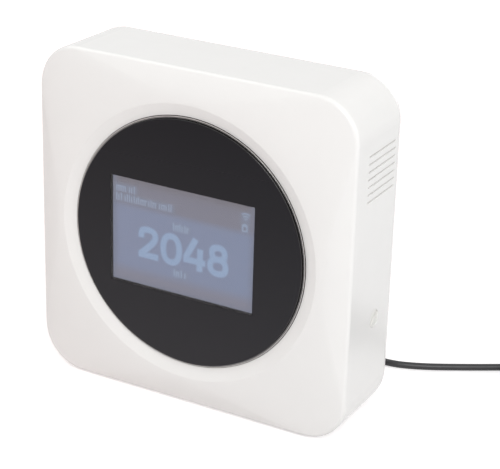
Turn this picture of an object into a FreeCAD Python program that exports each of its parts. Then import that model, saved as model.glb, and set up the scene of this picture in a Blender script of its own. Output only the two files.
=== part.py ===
"""Air quality monitor: a square, gently crowned white case with a round black display
in a conical dish, its sensors and boards, a quarter-turn side lock, a rear power button
and a plugged-in supply lead.

Millimetres. +Z is up, the display faces -Y and +X is to its right. The origin is under
the middle of the case, on the surface that the feet stand on.
"""

import FreeCAD, Part
import math
import os

from FreeCAD import Placement, Rotation, Vector
import Sketcher

doc = FreeCAD.newDocument("AirQualityMonitor")

# ---------------------------------------------------------------- driving dimensions

DIMENSIONS = {
    # case
    "case_side": 160.0,
    "case_depth": 53.9,
    "case_corner": 20.0,
    "case_draft": 0.8,
    "case_wall": 3.0,
    "crown_rise": 4.5,
    "front_crease": 2.0,
    "back_rounding": 10.0,
    "cover_edge": 6.0,
    "lip_length": 4.0,
    "lip_wall": 2.35,
    "lip_gap": 0.15,
    "running_gap": 0.05,
    "loose_gap": 0.2,
    # dish and display stack
    "dish_width": 5.8,
    "rim_land": 1.0,
    "rim_flat": 1.3,
    "rim_softness": 1.2,
    "dish_drop": 2.1,
    "dish_wall": 2.5,
    "seat_radius": 53.5,
    "seat_land": 4.5,
    "lens_clearance": 0.1,
    "print_inset": 0.4,
    "lens_recess": 0.75,
    "lens_thickness": 1.6,
    "lens_bevel": 0.3,
    "mask_thickness": 0.2,
    "gasket_thickness": 0.5,
    "bezel_floor": 1.0,
    "bezel_wall": 1.15,
    "bezel_rise": 0.3,
    "window_width": 73.3,
    "window_height": 50.3,
    "screen_offset": -2.8,
    "screen_lift": -0.2,
    "panel_border": 2.3,
    "panel_thickness": 1.6,
    "backlight_thickness": 2.0,
    "tray_wall": 1.1,
    "tray_floor": 0.6,
    "panel_gap": 0.25,
    "flex_plug": 1.2,
    # carrier and boards
    "carrier_height": 106.0,
    "carrier_corner": 8.0,
    "carrier_thickness": 2.5,
    "carrier_window_width": 66.0,
    "carrier_window_height": 42.0,
    "carrier_hole_inset": 6.0,
    "post_radius": 3.0,
    "post_length": 6.0,
    "board_thickness": 1.6,
    "board_width": 90.0,
    "board_height": 70.0,
    "board_hole_inset": 5.0,
    "small_screw_radius": 1.1,
    "small_head_radius": 2.1,
    "small_head_height": 1.5,
    "small_screw_length": 5.0,
    # side slots
    "slot_count": 7.0,
    "slot_pitch": 3.46,
    "slot_width": 0.9,
    "slot_length": 26.8,
    "slot_drop": 37.45,
    "slot_setback": 1.2,
    # particle sensor
    "pm_thickness": 21.0,
    "pm_depth": 38.0,
    "pm_height": 50.0,
    "pm_wall": 1.2,
    "pm_drop": 12.0,
    "pm_shift": 0.25,
    "inlet_gasket_thickness": 3.0,
    "fan_radius": 9.0,
    "fan_hub_radius": 5.0,
    "fan_shaft_radius": 0.75,
    # air sensor board
    "air_post_length": 6.4,
    "air_board_depth": 30.0,
    "air_board_height": 38.0,
    "co2_thickness": 9.0,
    "co2_depth": 20.0,
    "co2_height": 32.0,
    # supply board, socket and well
    "supply_board_height": 13.0,
    "supply_board_width": 67.0,
    "supply_board_depth": 20.5,
    "socket_width": 9.0,
    "socket_height": 3.26,
    "socket_length": 8.0,
    "well_width": 18.0,
    "well_height": 13.6,
    "well_depth": 19.0,
    "well_wall": 1.8,
    # button
    "button_place": 32.0,
    "button_radius": 5.0,
    "button_gap": 0.25,
    "button_travel": 0.8,
    "button_recess": 0.4,
    "flange_radius": 6.4,
    "stem_radius": 2.0,
    "sleeve_radius": 8.2,
    "sleeve_length": 14.0,
    # side lock
    "lock_drop": 69.65,
    "lock_depth_place": 3.3,
    "lock_head_radius": 4.0,
    "lock_head_thickness": 1.1,
    "lock_shank_radius": 2.5,
    "lock_slot_width": 1.2,
    "lock_slot_angle": 40.0,
    "lock_boss_radius": 6.0,
    "lock_boss_length": 3.7,
    "cam_reach": 12.0,
    "cam_width": 4.4,
    "cam_thickness": 2.0,
    # fasteners and feet
    "boss_inset": 16.0,
    "boss_radius": 5.0,
    "boss_setback": 7.25,
    "insert_radius": 2.5,
    "insert_length": 6.0,
    "screw_radius": 1.45,
    "screw_head_radius": 2.8,
    "screw_head_height": 2.2,
    "screw_length": 8.0,
    "screw_seat": 2.5,
    "foot_reach": 0.6,
    "foot_thickness": 1.8,
    "foot_radius": 6.0,
    "foot_inset": 25.0,
    "foot_front": -14.0,
    "foot_back": 10.0,
    # supply lead
    "cord_radius": 1.65,
    "plug_length": 18.0,
    "plug_width": 11.5,
    "plug_height": 6.4,
    "relief_length": 10.0,
}

sheet = doc.addObject("Spreadsheet::Sheet", "Dimensions")
for row, (alias, number) in enumerate(DIMENSIONS.items(), start=1):
    sheet.set(f"A{row}", alias)
    sheet.set(f"B{row}", str(number))
    sheet.setAlias(f"B{row}", alias)
doc.recompute()


class Size:
    """A length: the expression that the document is given, and its number."""

    def __init__(self, text, number):
        self.text = text
        self.number = number

    def _join(self, sign, other, number):
        return Size(f"({self.text} {sign} {size(other).text})", number)

    def __add__(self, other):
        return self._join("+", other, self.number + size(other).number)

    def __sub__(self, other):
        return self._join("-", other, self.number - size(other).number)

    def __mul__(self, other):
        return self._join("*", other, self.number * size(other).number)

    def __truediv__(self, other):
        return self._join("/", other, self.number / size(other).number)

    def __radd__(self, other):
        return size(other) + self

    def __rsub__(self, other):
        return size(other) - self

    def __rmul__(self, other):
        return size(other) * self

    def __neg__(self):
        return Size(f"(0 - {self.text})", -self.number)


def size(value):
    """A plain number as a Size; a Size as it is."""
    if isinstance(value, Size):
        return value
    return Size(repr(float(value)), float(value))


class Cells:
    """The sheet's cells by alias, each as a Size."""

    def __getattr__(self, alias):
        return Size(f"Dimensions.{alias}", float(sheet.get(alias)))


of = Cells()

# ---------------------------------------------------------------- shared places

front = -of.case_depth / 2
back = of.case_depth / 2
edge = front + of.crown_rise
split = back - of.cover_edge
inner_front = edge + of.case_wall
inner_back = back - of.case_wall
half_side = of.case_side / 2
middle = of.foot_reach + half_side
inner_half = half_side - of.case_wall
floor_inside = of.foot_reach + of.case_wall
case_top = of.foot_reach + of.case_side
lip_start = split - of.lip_length
boss_back = split - of.boss_setback
boss_spread = half_side - of.boss_inset
foot_spread = half_side - of.foot_inset

lens_radius = of.seat_radius + of.seat_land
dish_radius = lens_radius + of.lens_clearance + of.bezel_wall + of.lip_gap
rim_radius = dish_radius + of.dish_width
crown_land = rim_radius + of.rim_land
dish_floor = front + of.dish_drop
lens_front = front + of.lens_recess
lens_back = lens_front + of.lens_thickness
mask_back = lens_back + of.mask_thickness
gasket_back = mask_back + of.gasket_thickness
bezel_back = gasket_back + of.bezel_floor
panel_front = mask_back + of.panel_gap
panel_back = panel_front + of.panel_thickness
backlight_back = panel_back + of.backlight_thickness
tray_back = backlight_back + of.tray_floor
screen_middle = middle + of.screen_lift
carrier_back = inner_front + of.carrier_thickness
board_front = carrier_back + of.post_length
board_back = board_front + of.board_thickness

slot_middle = lip_start - of.slot_setback - of.slot_length / 2
slot_height = case_top - of.slot_drop
lock_height = slot_height - of.lock_drop
pm_outer = inner_half - of.inlet_gasket_thickness
pm_inner = pm_outer - of.pm_thickness
carrier_half = pm_inner
carrier_holes = (
    carrier_half - of.carrier_hole_inset,
    of.carrier_height / 2 - of.carrier_hole_inset,
)

# ---------------------------------------------------------------- helpers

AXES = {
    "x": Rotation(Vector(0, 1, 0), 90),
    "y": Rotation(Vector(1, 0, 0), -90),
    "z": Rotation(),
}


def bind(made, **sizes):
    """Sets properties from Sizes, as expressions over the sheet."""
    for name, value in sizes.items():
        made.setExpression(name, size(value).text)
    return made


def place(made, point, rotation=None):
    """Puts an object at a point given as three Sizes."""
    made.Placement = Placement(Vector(0, 0, 0), rotation or Rotation())
    for letter, value in zip("xyz", point):
        made.setExpression(f".Placement.Base.{letter}", size(value).text)
    return made


def box(name, low, high):
    """A block between two corners."""
    made = doc.addObject("Part::Box", name)
    spans = [size(b) - a for a, b in zip(low, high)]
    bind(made, Length=spans[0], Width=spans[1], Height=spans[2])
    return place(made, low)


def rod(name, axis, start, length, radius):
    """A cylinder from a start point along +X, +Y or +Z."""
    made = doc.addObject("Part::Cylinder", name)
    bind(made, Height=length, Radius=radius)
    return place(made, start, AXES[axis])


def cone(name, axis, start, length, first, last):
    """A cone from a start point along +X, +Y or +Z."""
    made = doc.addObject("Part::Cone", name)
    bind(made, Height=length, Radius1=first, Radius2=last)
    return place(made, start, AXES[axis])


def fuse(name, *shapes):
    """Shapes joined into one."""
    made = doc.addObject("Part::MultiFuse", name)
    made.Shapes = list(shapes)
    made.Refine = True
    return made


def group(name, *shapes):
    """Separate solids that share a node."""
    made = doc.addObject("Part::Compound", name)
    made.Links = list(shapes)
    return made


def cut(name, base, *tools):
    """The base less its tools."""
    made = doc.addObject("Part::Cut", name)
    made.Base = base
    made.Tool = tools[0] if len(tools) == 1 else group(f"{name}_tools", *tools)
    made.Refine = True
    return made


def common(name, base, tool):
    """What two shapes share."""
    made = doc.addObject("Part::Common", name)
    made.Base = base
    made.Tool = tool
    return made


def pipe(name, axis, start, length, outer, inner):
    """A straight tube."""
    return cut(
        name,
        rod(f"{name}_outside", axis, start, length, outer),
        rod(f"{name}_inside", axis, start, length, inner),
    )


def new_body(name):
    return doc.addObject("PartDesign::Body", name)


def new_sketch(body, name, role, offset):
    """A sketch on an origin plane of its body, moved along the plane's normal."""
    sketch = body.newObject("Sketcher::SketchObject", name)
    plane = [o for o in body.Origin.OriginFeatures if o.Role == role][0]
    sketch.AttachmentSupport = [(plane, "")]
    sketch.MapMode = "FlatFace"
    sketch.setExpression(".AttachmentOffset.Base.z", size(offset).text)
    return sketch


def dimension(sketch, name, value, kind, *where):
    """A named dimension of a sketch, bound to a Size."""
    value = size(value)
    index = sketch.addConstraint(Sketcher.Constraint(kind, *where, value.number))
    sketch.renameConstraint(index, name)
    sketch.setExpression(f"Constraints.{name}", value.text)


def draw_circle(sketch, radius, across=0, up=0):
    """A circle with its centre dimensioned from the sketch's origin."""
    across = size(across)
    up = size(up)
    centre = Vector(across.number, up.number, 0)
    circle = Part.Circle(centre, Vector(0, 0, 1), size(radius).number)
    index = sketch.addGeometry(circle, False)
    dimension(sketch, f"across_{index}", across, "DistanceX", -1, 1, index, 3)
    dimension(sketch, f"up_{index}", up, "DistanceY", -1, 1, index, 3)
    dimension(sketch, f"radius_{index}", radius, "Radius", index)


def draw_outline(sketch, points):
    """A closed outline of straight lines through points given as Sizes."""
    places = [Vector(size(a).number, size(b).number, 0) for a, b in points]
    count = len(places)
    lines = [Part.LineSegment(places[i], places[(i + 1) % count]) for i in range(count)]
    sketch.addGeometry(lines, False)
    for i in range(count):
        sketch.addConstraint(Sketcher.Constraint("Coincident", i, 2, (i + 1) % count, 1))
    for i, (across, up) in enumerate(points):
        dimension(sketch, f"across_{i}", across, "DistanceX", -1, 1, i, 1)
        dimension(sketch, f"up_{i}", up, "DistanceY", -1, 1, i, 1)


def draw_rounded(sketch, width, height, corner, across=0, up=0):
    """A rectangle with rounded corners about a centre."""
    width, height, corner, across, up = map(size, (width, height, corner, across, up))
    low_x = across.number - width.number / 2
    high_x = across.number + width.number / 2
    low_y = up.number - height.number / 2
    high_y = up.number + height.number / 2
    r = corner.number
    sides = [
        (Vector(low_x + r, low_y, 0), Vector(high_x - r, low_y, 0)),
        (Vector(high_x, low_y + r, 0), Vector(high_x, high_y - r, 0)),
        (Vector(high_x - r, high_y, 0), Vector(low_x + r, high_y, 0)),
        (Vector(low_x, high_y - r, 0), Vector(low_x, low_y + r, 0)),
    ]
    middles = [
        (Vector(high_x - r, low_y + r, 0), -math.pi / 2),
        (Vector(high_x - r, high_y - r, 0), 0),
        (Vector(low_x + r, high_y - r, 0), math.pi / 2),
        (Vector(low_x + r, low_y + r, 0), math.pi),
    ]
    for (start, end), (centre, turn) in zip(sides, middles):
        sketch.addGeometry(Part.LineSegment(start, end), False)
        circle = Part.Circle(centre, Vector(0, 0, 1), r)
        sketch.addGeometry(Part.ArcOfCircle(circle, turn, turn + math.pi / 2), False)
    for line in range(0, 8, 2):
        sketch.addConstraint(Sketcher.Constraint("Tangent", line, 2, line + 1, 1))
        sketch.addConstraint(Sketcher.Constraint("Tangent", line + 1, 2, (line + 2) % 8, 1))
    for line in (0, 4):
        sketch.addConstraint(Sketcher.Constraint("Horizontal", line))
    for line in (2, 6):
        sketch.addConstraint(Sketcher.Constraint("Vertical", line))
    for arc in (3, 5, 7):
        sketch.addConstraint(Sketcher.Constraint("Equal", 1, arc))
    dimension(sketch, "corner", corner, "Radius", 1)
    dimension(sketch, "right", across + width / 2, "DistanceX", -1, 1, 2, 1)
    dimension(sketch, "left", across - width / 2, "DistanceX", -1, 1, 6, 1)
    dimension(sketch, "bottom", up - height / 2, "DistanceY", -1, 1, 0, 1)
    dimension(sketch, "top", up + height / 2, "DistanceY", -1, 1, 4, 1)


def pad(body, name, sketch, length, towards_normal=True, taper=None):
    """A pad of a body along its sketch's normal, or against it."""
    made = body.newObject("PartDesign::Pad", name)
    made.Profile = sketch
    made.Reversed = not towards_normal
    bind(made, Length=length)
    if taper is not None:
        bind(made, TaperAngle=taper)
    return made


def slab(name, width, height, corner, start, end, across=0, up=0):
    """A body with rounded corners, square to Y, between two places along Y."""
    body = new_body(name)
    sketch = new_sketch(body, f"{name}_outline", "XZ_Plane", -size(start))
    draw_rounded(sketch, width, height, corner, across, up)
    pad(body, f"{name}_pad", sketch, size(end) - start, towards_normal=False)
    return body


def prism(name, points, start, end, role="YZ_Plane"):
    """A body with a straight-sided outline, padded between two places on its normal."""
    body = new_body(name)
    sketch = new_sketch(body, f"{name}_outline", role, start)
    draw_outline(sketch, points)
    pad(body, f"{name}_pad", sketch, size(end) - start)
    return body


def turned(name, points, axis="V_Axis", role="XY_Plane"):
    """A body turned about an axis of its sketch, before it is placed."""
    body = new_body(name)
    sketch = new_sketch(body, f"{name}_profile", role, 0)
    draw_outline(sketch, points)
    made = body.newObject("PartDesign::Revolution", f"{name}_turn")
    made.Profile = sketch
    made.ReferenceAxis = (sketch, [axis])
    made.Angle = 360
    return body


def smooth_line(points):
    """Straight runs joined by tangent arcs, and the arcs' radii."""
    share = 0.45
    corners = [Vector(*p) for p in points]
    edges = []
    radii = []
    start = corners[0]
    for before, corner, after in zip(corners, corners[1:], corners[2:]):
        back_way = before - corner
        on_way = after - corner
        trim = share * min(back_way.Length, on_way.Length)
        back_way.normalize()
        on_way.normalize()
        half_turn = (math.pi - back_way.getAngle(on_way)) / 2
        radius = trim / math.tan(half_turn)
        inward = back_way + on_way
        inward.normalize()
        centre = corner + inward * (radius / math.cos(half_turn))
        first = corner + back_way * trim
        last = corner + on_way * trim
        edges.append(Part.LineSegment(start, first).toShape())
        edges.append(Part.Arc(first, centre - inward * radius, last).toShape())
        radii.append(radius)
        start = last
    edges.append(Part.LineSegment(start, corners[-1]).toShape())
    return Part.Wire(edges), radii


def strand(name, points, radius):
    """A round lead along a route. Prints its bends and checks its volume."""
    line, radii = smooth_line(points)
    heading = Vector(*points[1]) - Vector(*points[0])
    ring = Part.Wire([Part.Circle(Vector(*points[0]), heading, radius).toShape()])
    shape = line.makePipeShell([ring], True, False)
    made = doc.addObject("Part::Feature", name)
    made.Shape = shape
    expected = math.pi * radius**2 * line.Length
    if abs(shape.Volume / expected - 1) > 0.02:
        raise ValueError(f"{name}: volume {shape.Volume:.1f}, expected {expected:.1f}")
    bends = ", ".join(f"{r:.1f}" for r in radii)
    print(f"{name}: length {line.Length:.1f}, bend radii {bends}")
    return made


def around(spread, rise=None, centre=None):
    """The four corners of a square or rectangle, as (x, z) Sizes."""
    rise = spread if rise is None else rise
    centre = middle if centre is None else centre
    return [(sx * size(spread), centre + sz * size(rise)) for sx in (-1, 1) for sz in (-1, 1)]


# ---------------------------------------------------------------- the case's outer form


def square_ring(half, corner, place_y, centre_z):
    """A wire along a rounded square, square to Y."""
    flat = half - corner
    knee = flat + corner * math.cos(math.pi / 4)
    side = [Vector(half, 0, -flat), Vector(half, 0, flat)]
    bend = [Vector(half, 0, flat), Vector(knee, 0, knee), Vector(flat, 0, half)]
    edges = []
    for quarter in range(4):
        turn = Rotation(Vector(0, -1, 0), 90 * quarter)
        shift = Vector(0, place_y, centre_z)
        edges.append(Part.LineSegment(*[turn.multVec(p) + shift for p in side]).toShape())
        edges.append(Part.Arc(*[turn.multVec(p) + shift for p in bend]).toShape())
    return Part.Wire(edges)


def crown(name, half, corner, base_y, top_y):
    """The rise from straight edges to a narrow land outside the dish's round rim.

    Each ring is a rounded square: its corners open out until it is nearly a circle,
    and its height follows a curve that is steep at the edges and level at the rim.
    """
    top_half = crown_land.number
    top_corner = top_half - of.rim_flat.number
    steps = 4
    rings = []
    for step in range(steps + 1):
        share = step / steps
        rise = 1 - (1 - share) ** CROWN_POWER
        ring_half = half.number + (top_half - half.number) * share
        ring_corner = corner.number + (top_corner - corner.number) * share
        ring_y = base_y.number + (top_y.number - base_y.number) * rise
        rings.append(square_ring(ring_half, ring_corner, ring_y, middle.number))
    made = doc.addObject("Part::Feature", name)
    made.Shape = Part.makeLoft(rings, True, False)
    return made


CROWN_POWER = 1.6
CREASE_ROOM = 60.0  # a narrow crown is steep and leaves room only for a small crease


def edges_at(shape, place_y):
    """The names of a shape's edges that lie in one plane square to Y."""
    names = []
    for index, edge_ in enumerate(shape.Edges, start=1):
        if all(abs(v.Y - place_y.number) < 1e-5 for v in edge_.Vertexes):
            names.append(f"Edge{index}")
    return names


def case_form():
    """The closed outer form: drafted sides, rounded back, crowned front, soft crease."""
    shell = new_body("case_sides")
    outline = new_sketch(shell, "case_outline", "XZ_Plane", -edge)
    draw_rounded(outline, of.case_side, of.case_side, of.case_corner, 0, middle)
    sides = pad(
        shell, "case_pad", outline, back - edge, towards_normal=False, taper=-of.case_draft
    )
    doc.recompute()
    rounding = shell.newObject("PartDesign::Fillet", "case_back_rounding")
    rounding.Base = (sides, edges_at(sides.Shape, back))
    bind(rounding, Radius=of.back_rounding)
    rise = crown("case_crown", half_side, of.case_corner, edge, front)
    form = fuse("case_block", shell, rise)
    doc.recompute()
    crease = doc.addObject("Part::Fillet", "case_form")
    crease.Base = form
    run = (half_side - crown_land).number
    radius = min(of.front_crease.number, run * run / CREASE_ROOM)
    picked = edges_at(form.Shape, edge)
    crease.Edges = [(int(name[4:]), radius, radius) for name in picked]
    doc.recompute()
    return crease


# ---------------------------------------------------------------- front housing


def slot_cutters():
    """The bars that cut the breathing slots through both side walls."""
    start_y = slot_middle - of.slot_length / 2
    end_y = slot_middle + of.slot_length / 2
    bars = []
    count = round(of.slot_count.number)
    for index in range(count):
        low = slot_height + of.slot_pitch * (index - (count - 1) / 2) - of.slot_width / 2
        high = low + of.slot_width
        bars.append(
            box(
                f"slot_cutter_{index + 1}",
                (-half_side - 1, start_y, low),
                (half_side + 1, end_y, high),
            )
        )
    return bars


def cavity():
    """The housing's inside, open at the back, with a relief under the dish's rim."""
    room = slab(
        "housing_room",
        inner_half * 2,
        inner_half * 2,
        of.case_corner - of.case_wall,
        inner_front,
        back + 1,
        0,
        middle,
    )
    corner = of.case_corner - of.case_wall
    rise = crown("relief_rise", inner_half, corner, inner_front, front + of.case_wall)
    cup = rod(
        "dish_cup",
        "y",
        (0, front, middle),
        inner_front - front + 1,
        dish_radius + of.dish_wall,
    )
    return room, cut("relief", rise, cup)


def air_post_places():
    """Where the two posts of the air sensor board stand, as (y, z)."""
    low = slot_height - 20.5
    return [(slot_middle + side * 11.0, low) for side in (-1, 1)]


def supply_post_places():
    """Where the posts of the supply board stand, as (x, y)."""
    right = supply_left + of.supply_board_width - 4
    return [(x, y) for x in (supply_left + 4, right) for y in (supply_front + 4, supply_back - 4.5)]


def foot_places():
    return [(side * foot_spread, y) for side in (-1, 1) for y in (of.foot_front, of.foot_back)]


pm_middle_y = (inner_front + inner_back) / 2 + of.pm_shift
pm_middle_z = slot_height - of.pm_drop
pm_low = pm_middle_z - of.pm_height / 2
pm_high = pm_middle_z + of.pm_height / 2
pm_front = pm_middle_y - of.pm_depth / 2
pm_back = pm_middle_y + of.pm_depth / 2
air_board_outer = -inner_half + of.air_post_length
air_board_inner = air_board_outer + of.board_thickness
well_floor_back = back - of.well_depth
well_floor_front = well_floor_back - 1.6
supply_back = well_floor_front - of.lip_gap
supply_front = supply_back - of.supply_board_depth
supply_left = -of.supply_board_width / 2 + 8.5
supply_top = of.supply_board_height + of.board_thickness
socket_middle = supply_top + of.socket_height / 2
button_middle = supply_top + 3
lock_bore = of.lock_shank_radius + of.running_gap
post_bore = of.small_screw_radius + 0.02


def front_housing(form):
    """The white shell: dish, display seat, slots, screw bosses, posts, shelves and lock boss."""
    room, relief = cavity()
    ahead = box(
        "ahead_of_split",
        (-half_side - 1, front - 1, -1),
        (half_side + 1, split, case_top + 1),
    )
    walls = common("housing_blank", form, ahead)
    hollow = cut("housing_shell", walls, room, relief)

    # bosses and posts inside
    corner_posts = []
    for index, (x, z) in enumerate(around(boss_spread), start=1):
        corner_posts.append(
            rod(f"corner_post_{index}", "y", (x, edge, z), boss_back - edge, of.boss_radius)
        )
    carrier_posts = []
    for index, (x, z) in enumerate(around(*carrier_holes), start=1):
        start = front + 2.2
        carrier_posts.append(
            rod(f"carrier_boss_{index}", "y", (x, start, z), inner_front - start, 3.6)
        )
    supply_posts = []
    for index, (x, y) in enumerate(supply_post_places(), start=1):
        start = floor_inside - 1
        reach = of.supply_board_height - start
        supply_posts.append(rod(f"supply_post_{index}", "z", (x, y, start), reach, of.post_radius))
    air_posts = []
    for index, (y, z) in enumerate(air_post_places(), start=1):
        start = -inner_half - 1
        reach = air_board_outer - start
        air_posts.append(rod(f"air_post_{index}", "x", (start, y, z), reach, of.post_radius))
    shelves = []
    for name, low in (("lower", pm_low - of.loose_gap - 1.6), ("upper", pm_high + of.loose_gap)):
        shelves.append(
            box(
                f"{name}_shelf",
                (pm_inner + 4, inner_front - 1, low),
                (inner_half + 1, boss_back - of.loose_gap, low + 1.6),
            )
        )
    lock_boss = rod(
        "lock_boss",
        "x",
        (inner_half - of.lock_boss_length, of.lock_depth_place, lock_height),
        of.lock_boss_length + 1,
        of.lock_boss_radius,
    )
    inside = [*corner_posts, *carrier_posts, *supply_posts, *air_posts, *shelves, lock_boss]
    solid = fuse("housing_solid", hollow, *inside)

    # what is cut through it
    dish = cone(
        "dish_cone",
        "y",
        (0, front, middle),
        of.dish_drop,
        rim_radius,
        dish_radius,
    )
    pocket = rod(
        "lens_pocket",
        "y",
        (0, dish_floor - 0.01, middle),
        bezel_back - dish_floor + 0.01,
        dish_radius,
    )
    opening = rod(
        "display_opening",
        "y",
        (0, bezel_back - 1, middle),
        inner_front - bezel_back + 2,
        of.seat_radius,
    )
    holes = []
    for index, (x, z) in enumerate(around(boss_spread), start=1):
        depth = of.insert_length
        holes.append(
            rod(
                f"insert_hole_{index}",
                "y",
                (x, boss_back - depth, z),
                depth,
                of.insert_radius,
            )
        )
    for index, (x, z) in enumerate(around(*carrier_holes), start=1):
        depth = of.small_screw_length - of.carrier_thickness + 0.3
        holes.append(rod(f"carrier_hole_{index}", "y", (x, inner_front - depth, z), depth, post_bore))
    for index, (x, y) in enumerate(supply_post_places(), start=1):
        depth = of.small_screw_length - of.board_thickness + 0.3
        start = of.supply_board_height - depth
        holes.append(rod(f"supply_hole_{index}", "z", (x, y, start), depth, post_bore))
    for index, (y, z) in enumerate(air_post_places(), start=1):
        depth = of.small_screw_length - of.board_thickness + 0.3
        start = air_board_outer - depth
        holes.append(rod(f"air_hole_{index}", "x", (start, y, z), depth, post_bore))
    recesses = []
    for index, (x, y) in enumerate(foot_places(), start=1):
        recesses.append(
            rod(f"foot_recess_{index}", "z", (x, y, -1), of.foot_thickness + 1, of.foot_radius)
        )
    bore = rod(
        "lock_bore",
        "x",
        (inner_half - of.lock_boss_length - 1, of.lock_depth_place, lock_height),
        half_side - inner_half + of.lock_boss_length + 2,
        lock_bore,
    )
    sink = rod(
        "lock_sink",
        "x",
        (lock_seat, of.lock_depth_place, lock_height),
        5,
        of.lock_head_radius + of.lip_gap,
    )
    cutters = [dish, pocket, opening, *holes, *recesses, bore, sink, *slot_cutters()]
    sharp = cut("housing_cut", solid, *cutters)
    doc.recompute()
    soft = doc.addObject("Part::Fillet", "front_housing")
    soft.Base = sharp
    soft.Edges = [(rim_edge(sharp.Shape), of.rim_softness.number, of.rim_softness.number)]
    return soft


def rim_edge(shape):
    """The number of the round edge where the dish meets the crown."""
    for index, edge_ in enumerate(shape.Edges, start=1):
        if not isinstance(edge_.Curve, Part.Circle):
            continue
        level = abs(edge_.Vertexes[0].Y - front.number) < 1e-5
        if level and abs(edge_.Curve.Radius - rim_radius.number) < 1e-5:
            return index
    raise ValueError("the dish has no rim")


lock_face = half_side - 0.6
lock_seat = lock_face - of.lock_head_thickness - 0.05

# ---------------------------------------------------------------- rear cover


def rear_cover(form):
    """The back: rim and lip, screw pillars, plug well, button sleeve and lock hook."""
    behind = box(
        "behind_split",
        (-half_side - 1, split, -1),
        (half_side + 1, back + 1, case_top + 1),
    )
    blank = common("cover_blank", form, behind)
    lip_out = inner_half - of.lip_gap
    lip_in = lip_out - of.lip_wall
    out_corner = of.case_corner - of.case_wall - of.lip_gap
    lip = slab(
        "cover_lip", lip_out * 2, lip_out * 2, out_corner, lip_start, split + 1, 0, middle
    )
    room = slab(
        "cover_room",
        lip_in * 2,
        lip_in * 2,
        out_corner - of.lip_wall,
        lip_start - 1,
        inner_back,
        0,
        middle,
    )
    shell = cut("cover_shell", fuse("cover_rim", blank, lip), room)

    pillars = []
    for index, (x, z) in enumerate(around(boss_spread), start=1):
        reach = inner_back - boss_back + 0.5
        pillars.append(
            rod(f"cover_pillar_{index}", "y", (x, boss_back, z), reach, of.boss_radius)
        )
    well = box(
        "well_block",
        (
            -of.well_width / 2 - of.well_wall,
            well_floor_front,
            socket_middle - of.well_height / 2 - of.well_wall,
        ),
        (
            of.well_width / 2 + of.well_wall,
            inner_back + 0.5,
            socket_middle + of.well_height / 2 + of.well_wall,
        ),
    )
    sleeve = rod(
        "button_sleeve",
        "y",
        (of.button_place, inner_back - of.sleeve_length, button_middle),
        of.sleeve_length + 0.5,
        of.sleeve_radius,
    )
    hook_outer = cam_outer + 0.1
    hook_inner = hook_outer - of.cam_thickness - 0.2
    hook_low = lock_height + of.cam_reach + 0.5
    hook_front = of.lock_depth_place - of.cam_width / 2 - 0.5
    arm = box(
        "hook_arm",
        (hook_inner, hook_front - 4, hook_low),
        (hook_outer, inner_back + 0.5, hook_low + 5),
    )
    hook = box(
        "hook_tip",
        (hook_inner, hook_front - 4, lock_height + of.lock_boss_radius),
        (hook_outer, hook_front, hook_low + 1),
    )
    solid = fuse("cover_solid", shell, *pillars, well, sleeve, arm, hook)

    cutters = []
    for index, (x, z) in enumerate(around(boss_spread), start=1):
        cutters.append(
            rod(
                f"screw_way_{index}",
                "y",
                (x, boss_back - 1, z),
                back - boss_back + 2,
                of.screw_radius + of.loose_gap,
            )
        )
        seat = boss_back + of.screw_seat
        cutters.append(
            rod(
                f"head_way_{index}",
                "y",
                (x, seat, z),
                back - seat + 1,
                of.screw_head_radius + of.loose_gap,
            )
        )
    cutters.append(
        box(
            "well_hollow",
            (-of.well_width / 2, well_floor_back, socket_middle - of.well_height / 2),
            (of.well_width / 2, back + 1, socket_middle + of.well_height / 2),
        )
    )
    cutters.append(
        box(
            "socket_opening",
            (
                -of.socket_width / 2 - of.loose_gap,
                well_floor_front - 1,
                socket_middle - of.socket_height / 2 - of.loose_gap,
            ),
            (
                of.socket_width / 2 + of.loose_gap,
                well_floor_back + 1,
                socket_middle + of.socket_height / 2 + of.loose_gap,
            ),
        )
    )
    cutters.append(
        rod(
            "sleeve_hollow",
            "y",
            (of.button_place, inner_back - of.sleeve_length + 2, button_middle),
            of.sleeve_length - 2,
            of.flange_radius + of.button_gap,
        )
    )
    cutters.append(
        rod(
            "button_hole",
            "y",
            (of.button_place, inner_back - 1, button_middle),
            of.case_wall + 2,
            of.button_radius + of.button_gap,
        )
    )
    cutters.append(
        rod(
            "stem_hole",
            "y",
            (of.button_place, inner_back - of.sleeve_length - 1, button_middle),
            4,
            of.stem_radius + of.button_gap,
        )
    )
    return cut("rear_cover", solid, *cutters)


# ---------------------------------------------------------------- lens and display


def display_lens():
    """The round front glass, with a fine bevel at its front edge."""
    body = new_body("display_lens")
    sketch = new_sketch(body, "lens_circle", "XZ_Plane", -lens_front)
    draw_circle(sketch, lens_radius, 0, middle)
    disc = pad(body, "lens_pad", sketch, of.lens_thickness, towards_normal=False)
    doc.recompute()
    bevel = body.newObject("PartDesign::Chamfer", "lens_edge")
    bevel.Base = (disc, edges_at(disc.Shape, lens_front))
    bind(bevel, Size=of.lens_bevel)
    return body


def lens_mask():
    """The black print behind the glass, with the display's window."""
    disc = rod("mask_disc", "y", (0, lens_back, middle), of.mask_thickness, lens_radius - of.print_inset)
    window = box(
        "mask_window",
        (
            of.screen_offset - of.window_width / 2,
            lens_back - 1,
            screen_middle - of.window_height / 2,
        ),
        (
            of.screen_offset + of.window_width / 2,
            mask_back + 1,
            screen_middle + of.window_height / 2,
        ),
    )
    return cut("lens_mask", disc, window)


def lens_gasket():
    """The foam ring that seals the glass to its bezel."""
    return pipe(
        "lens_gasket",
        "y",
        (0, mask_back, middle),
        of.gasket_thickness,
        lens_radius - of.print_inset,
        of.seat_radius + 1,
    )


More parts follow.
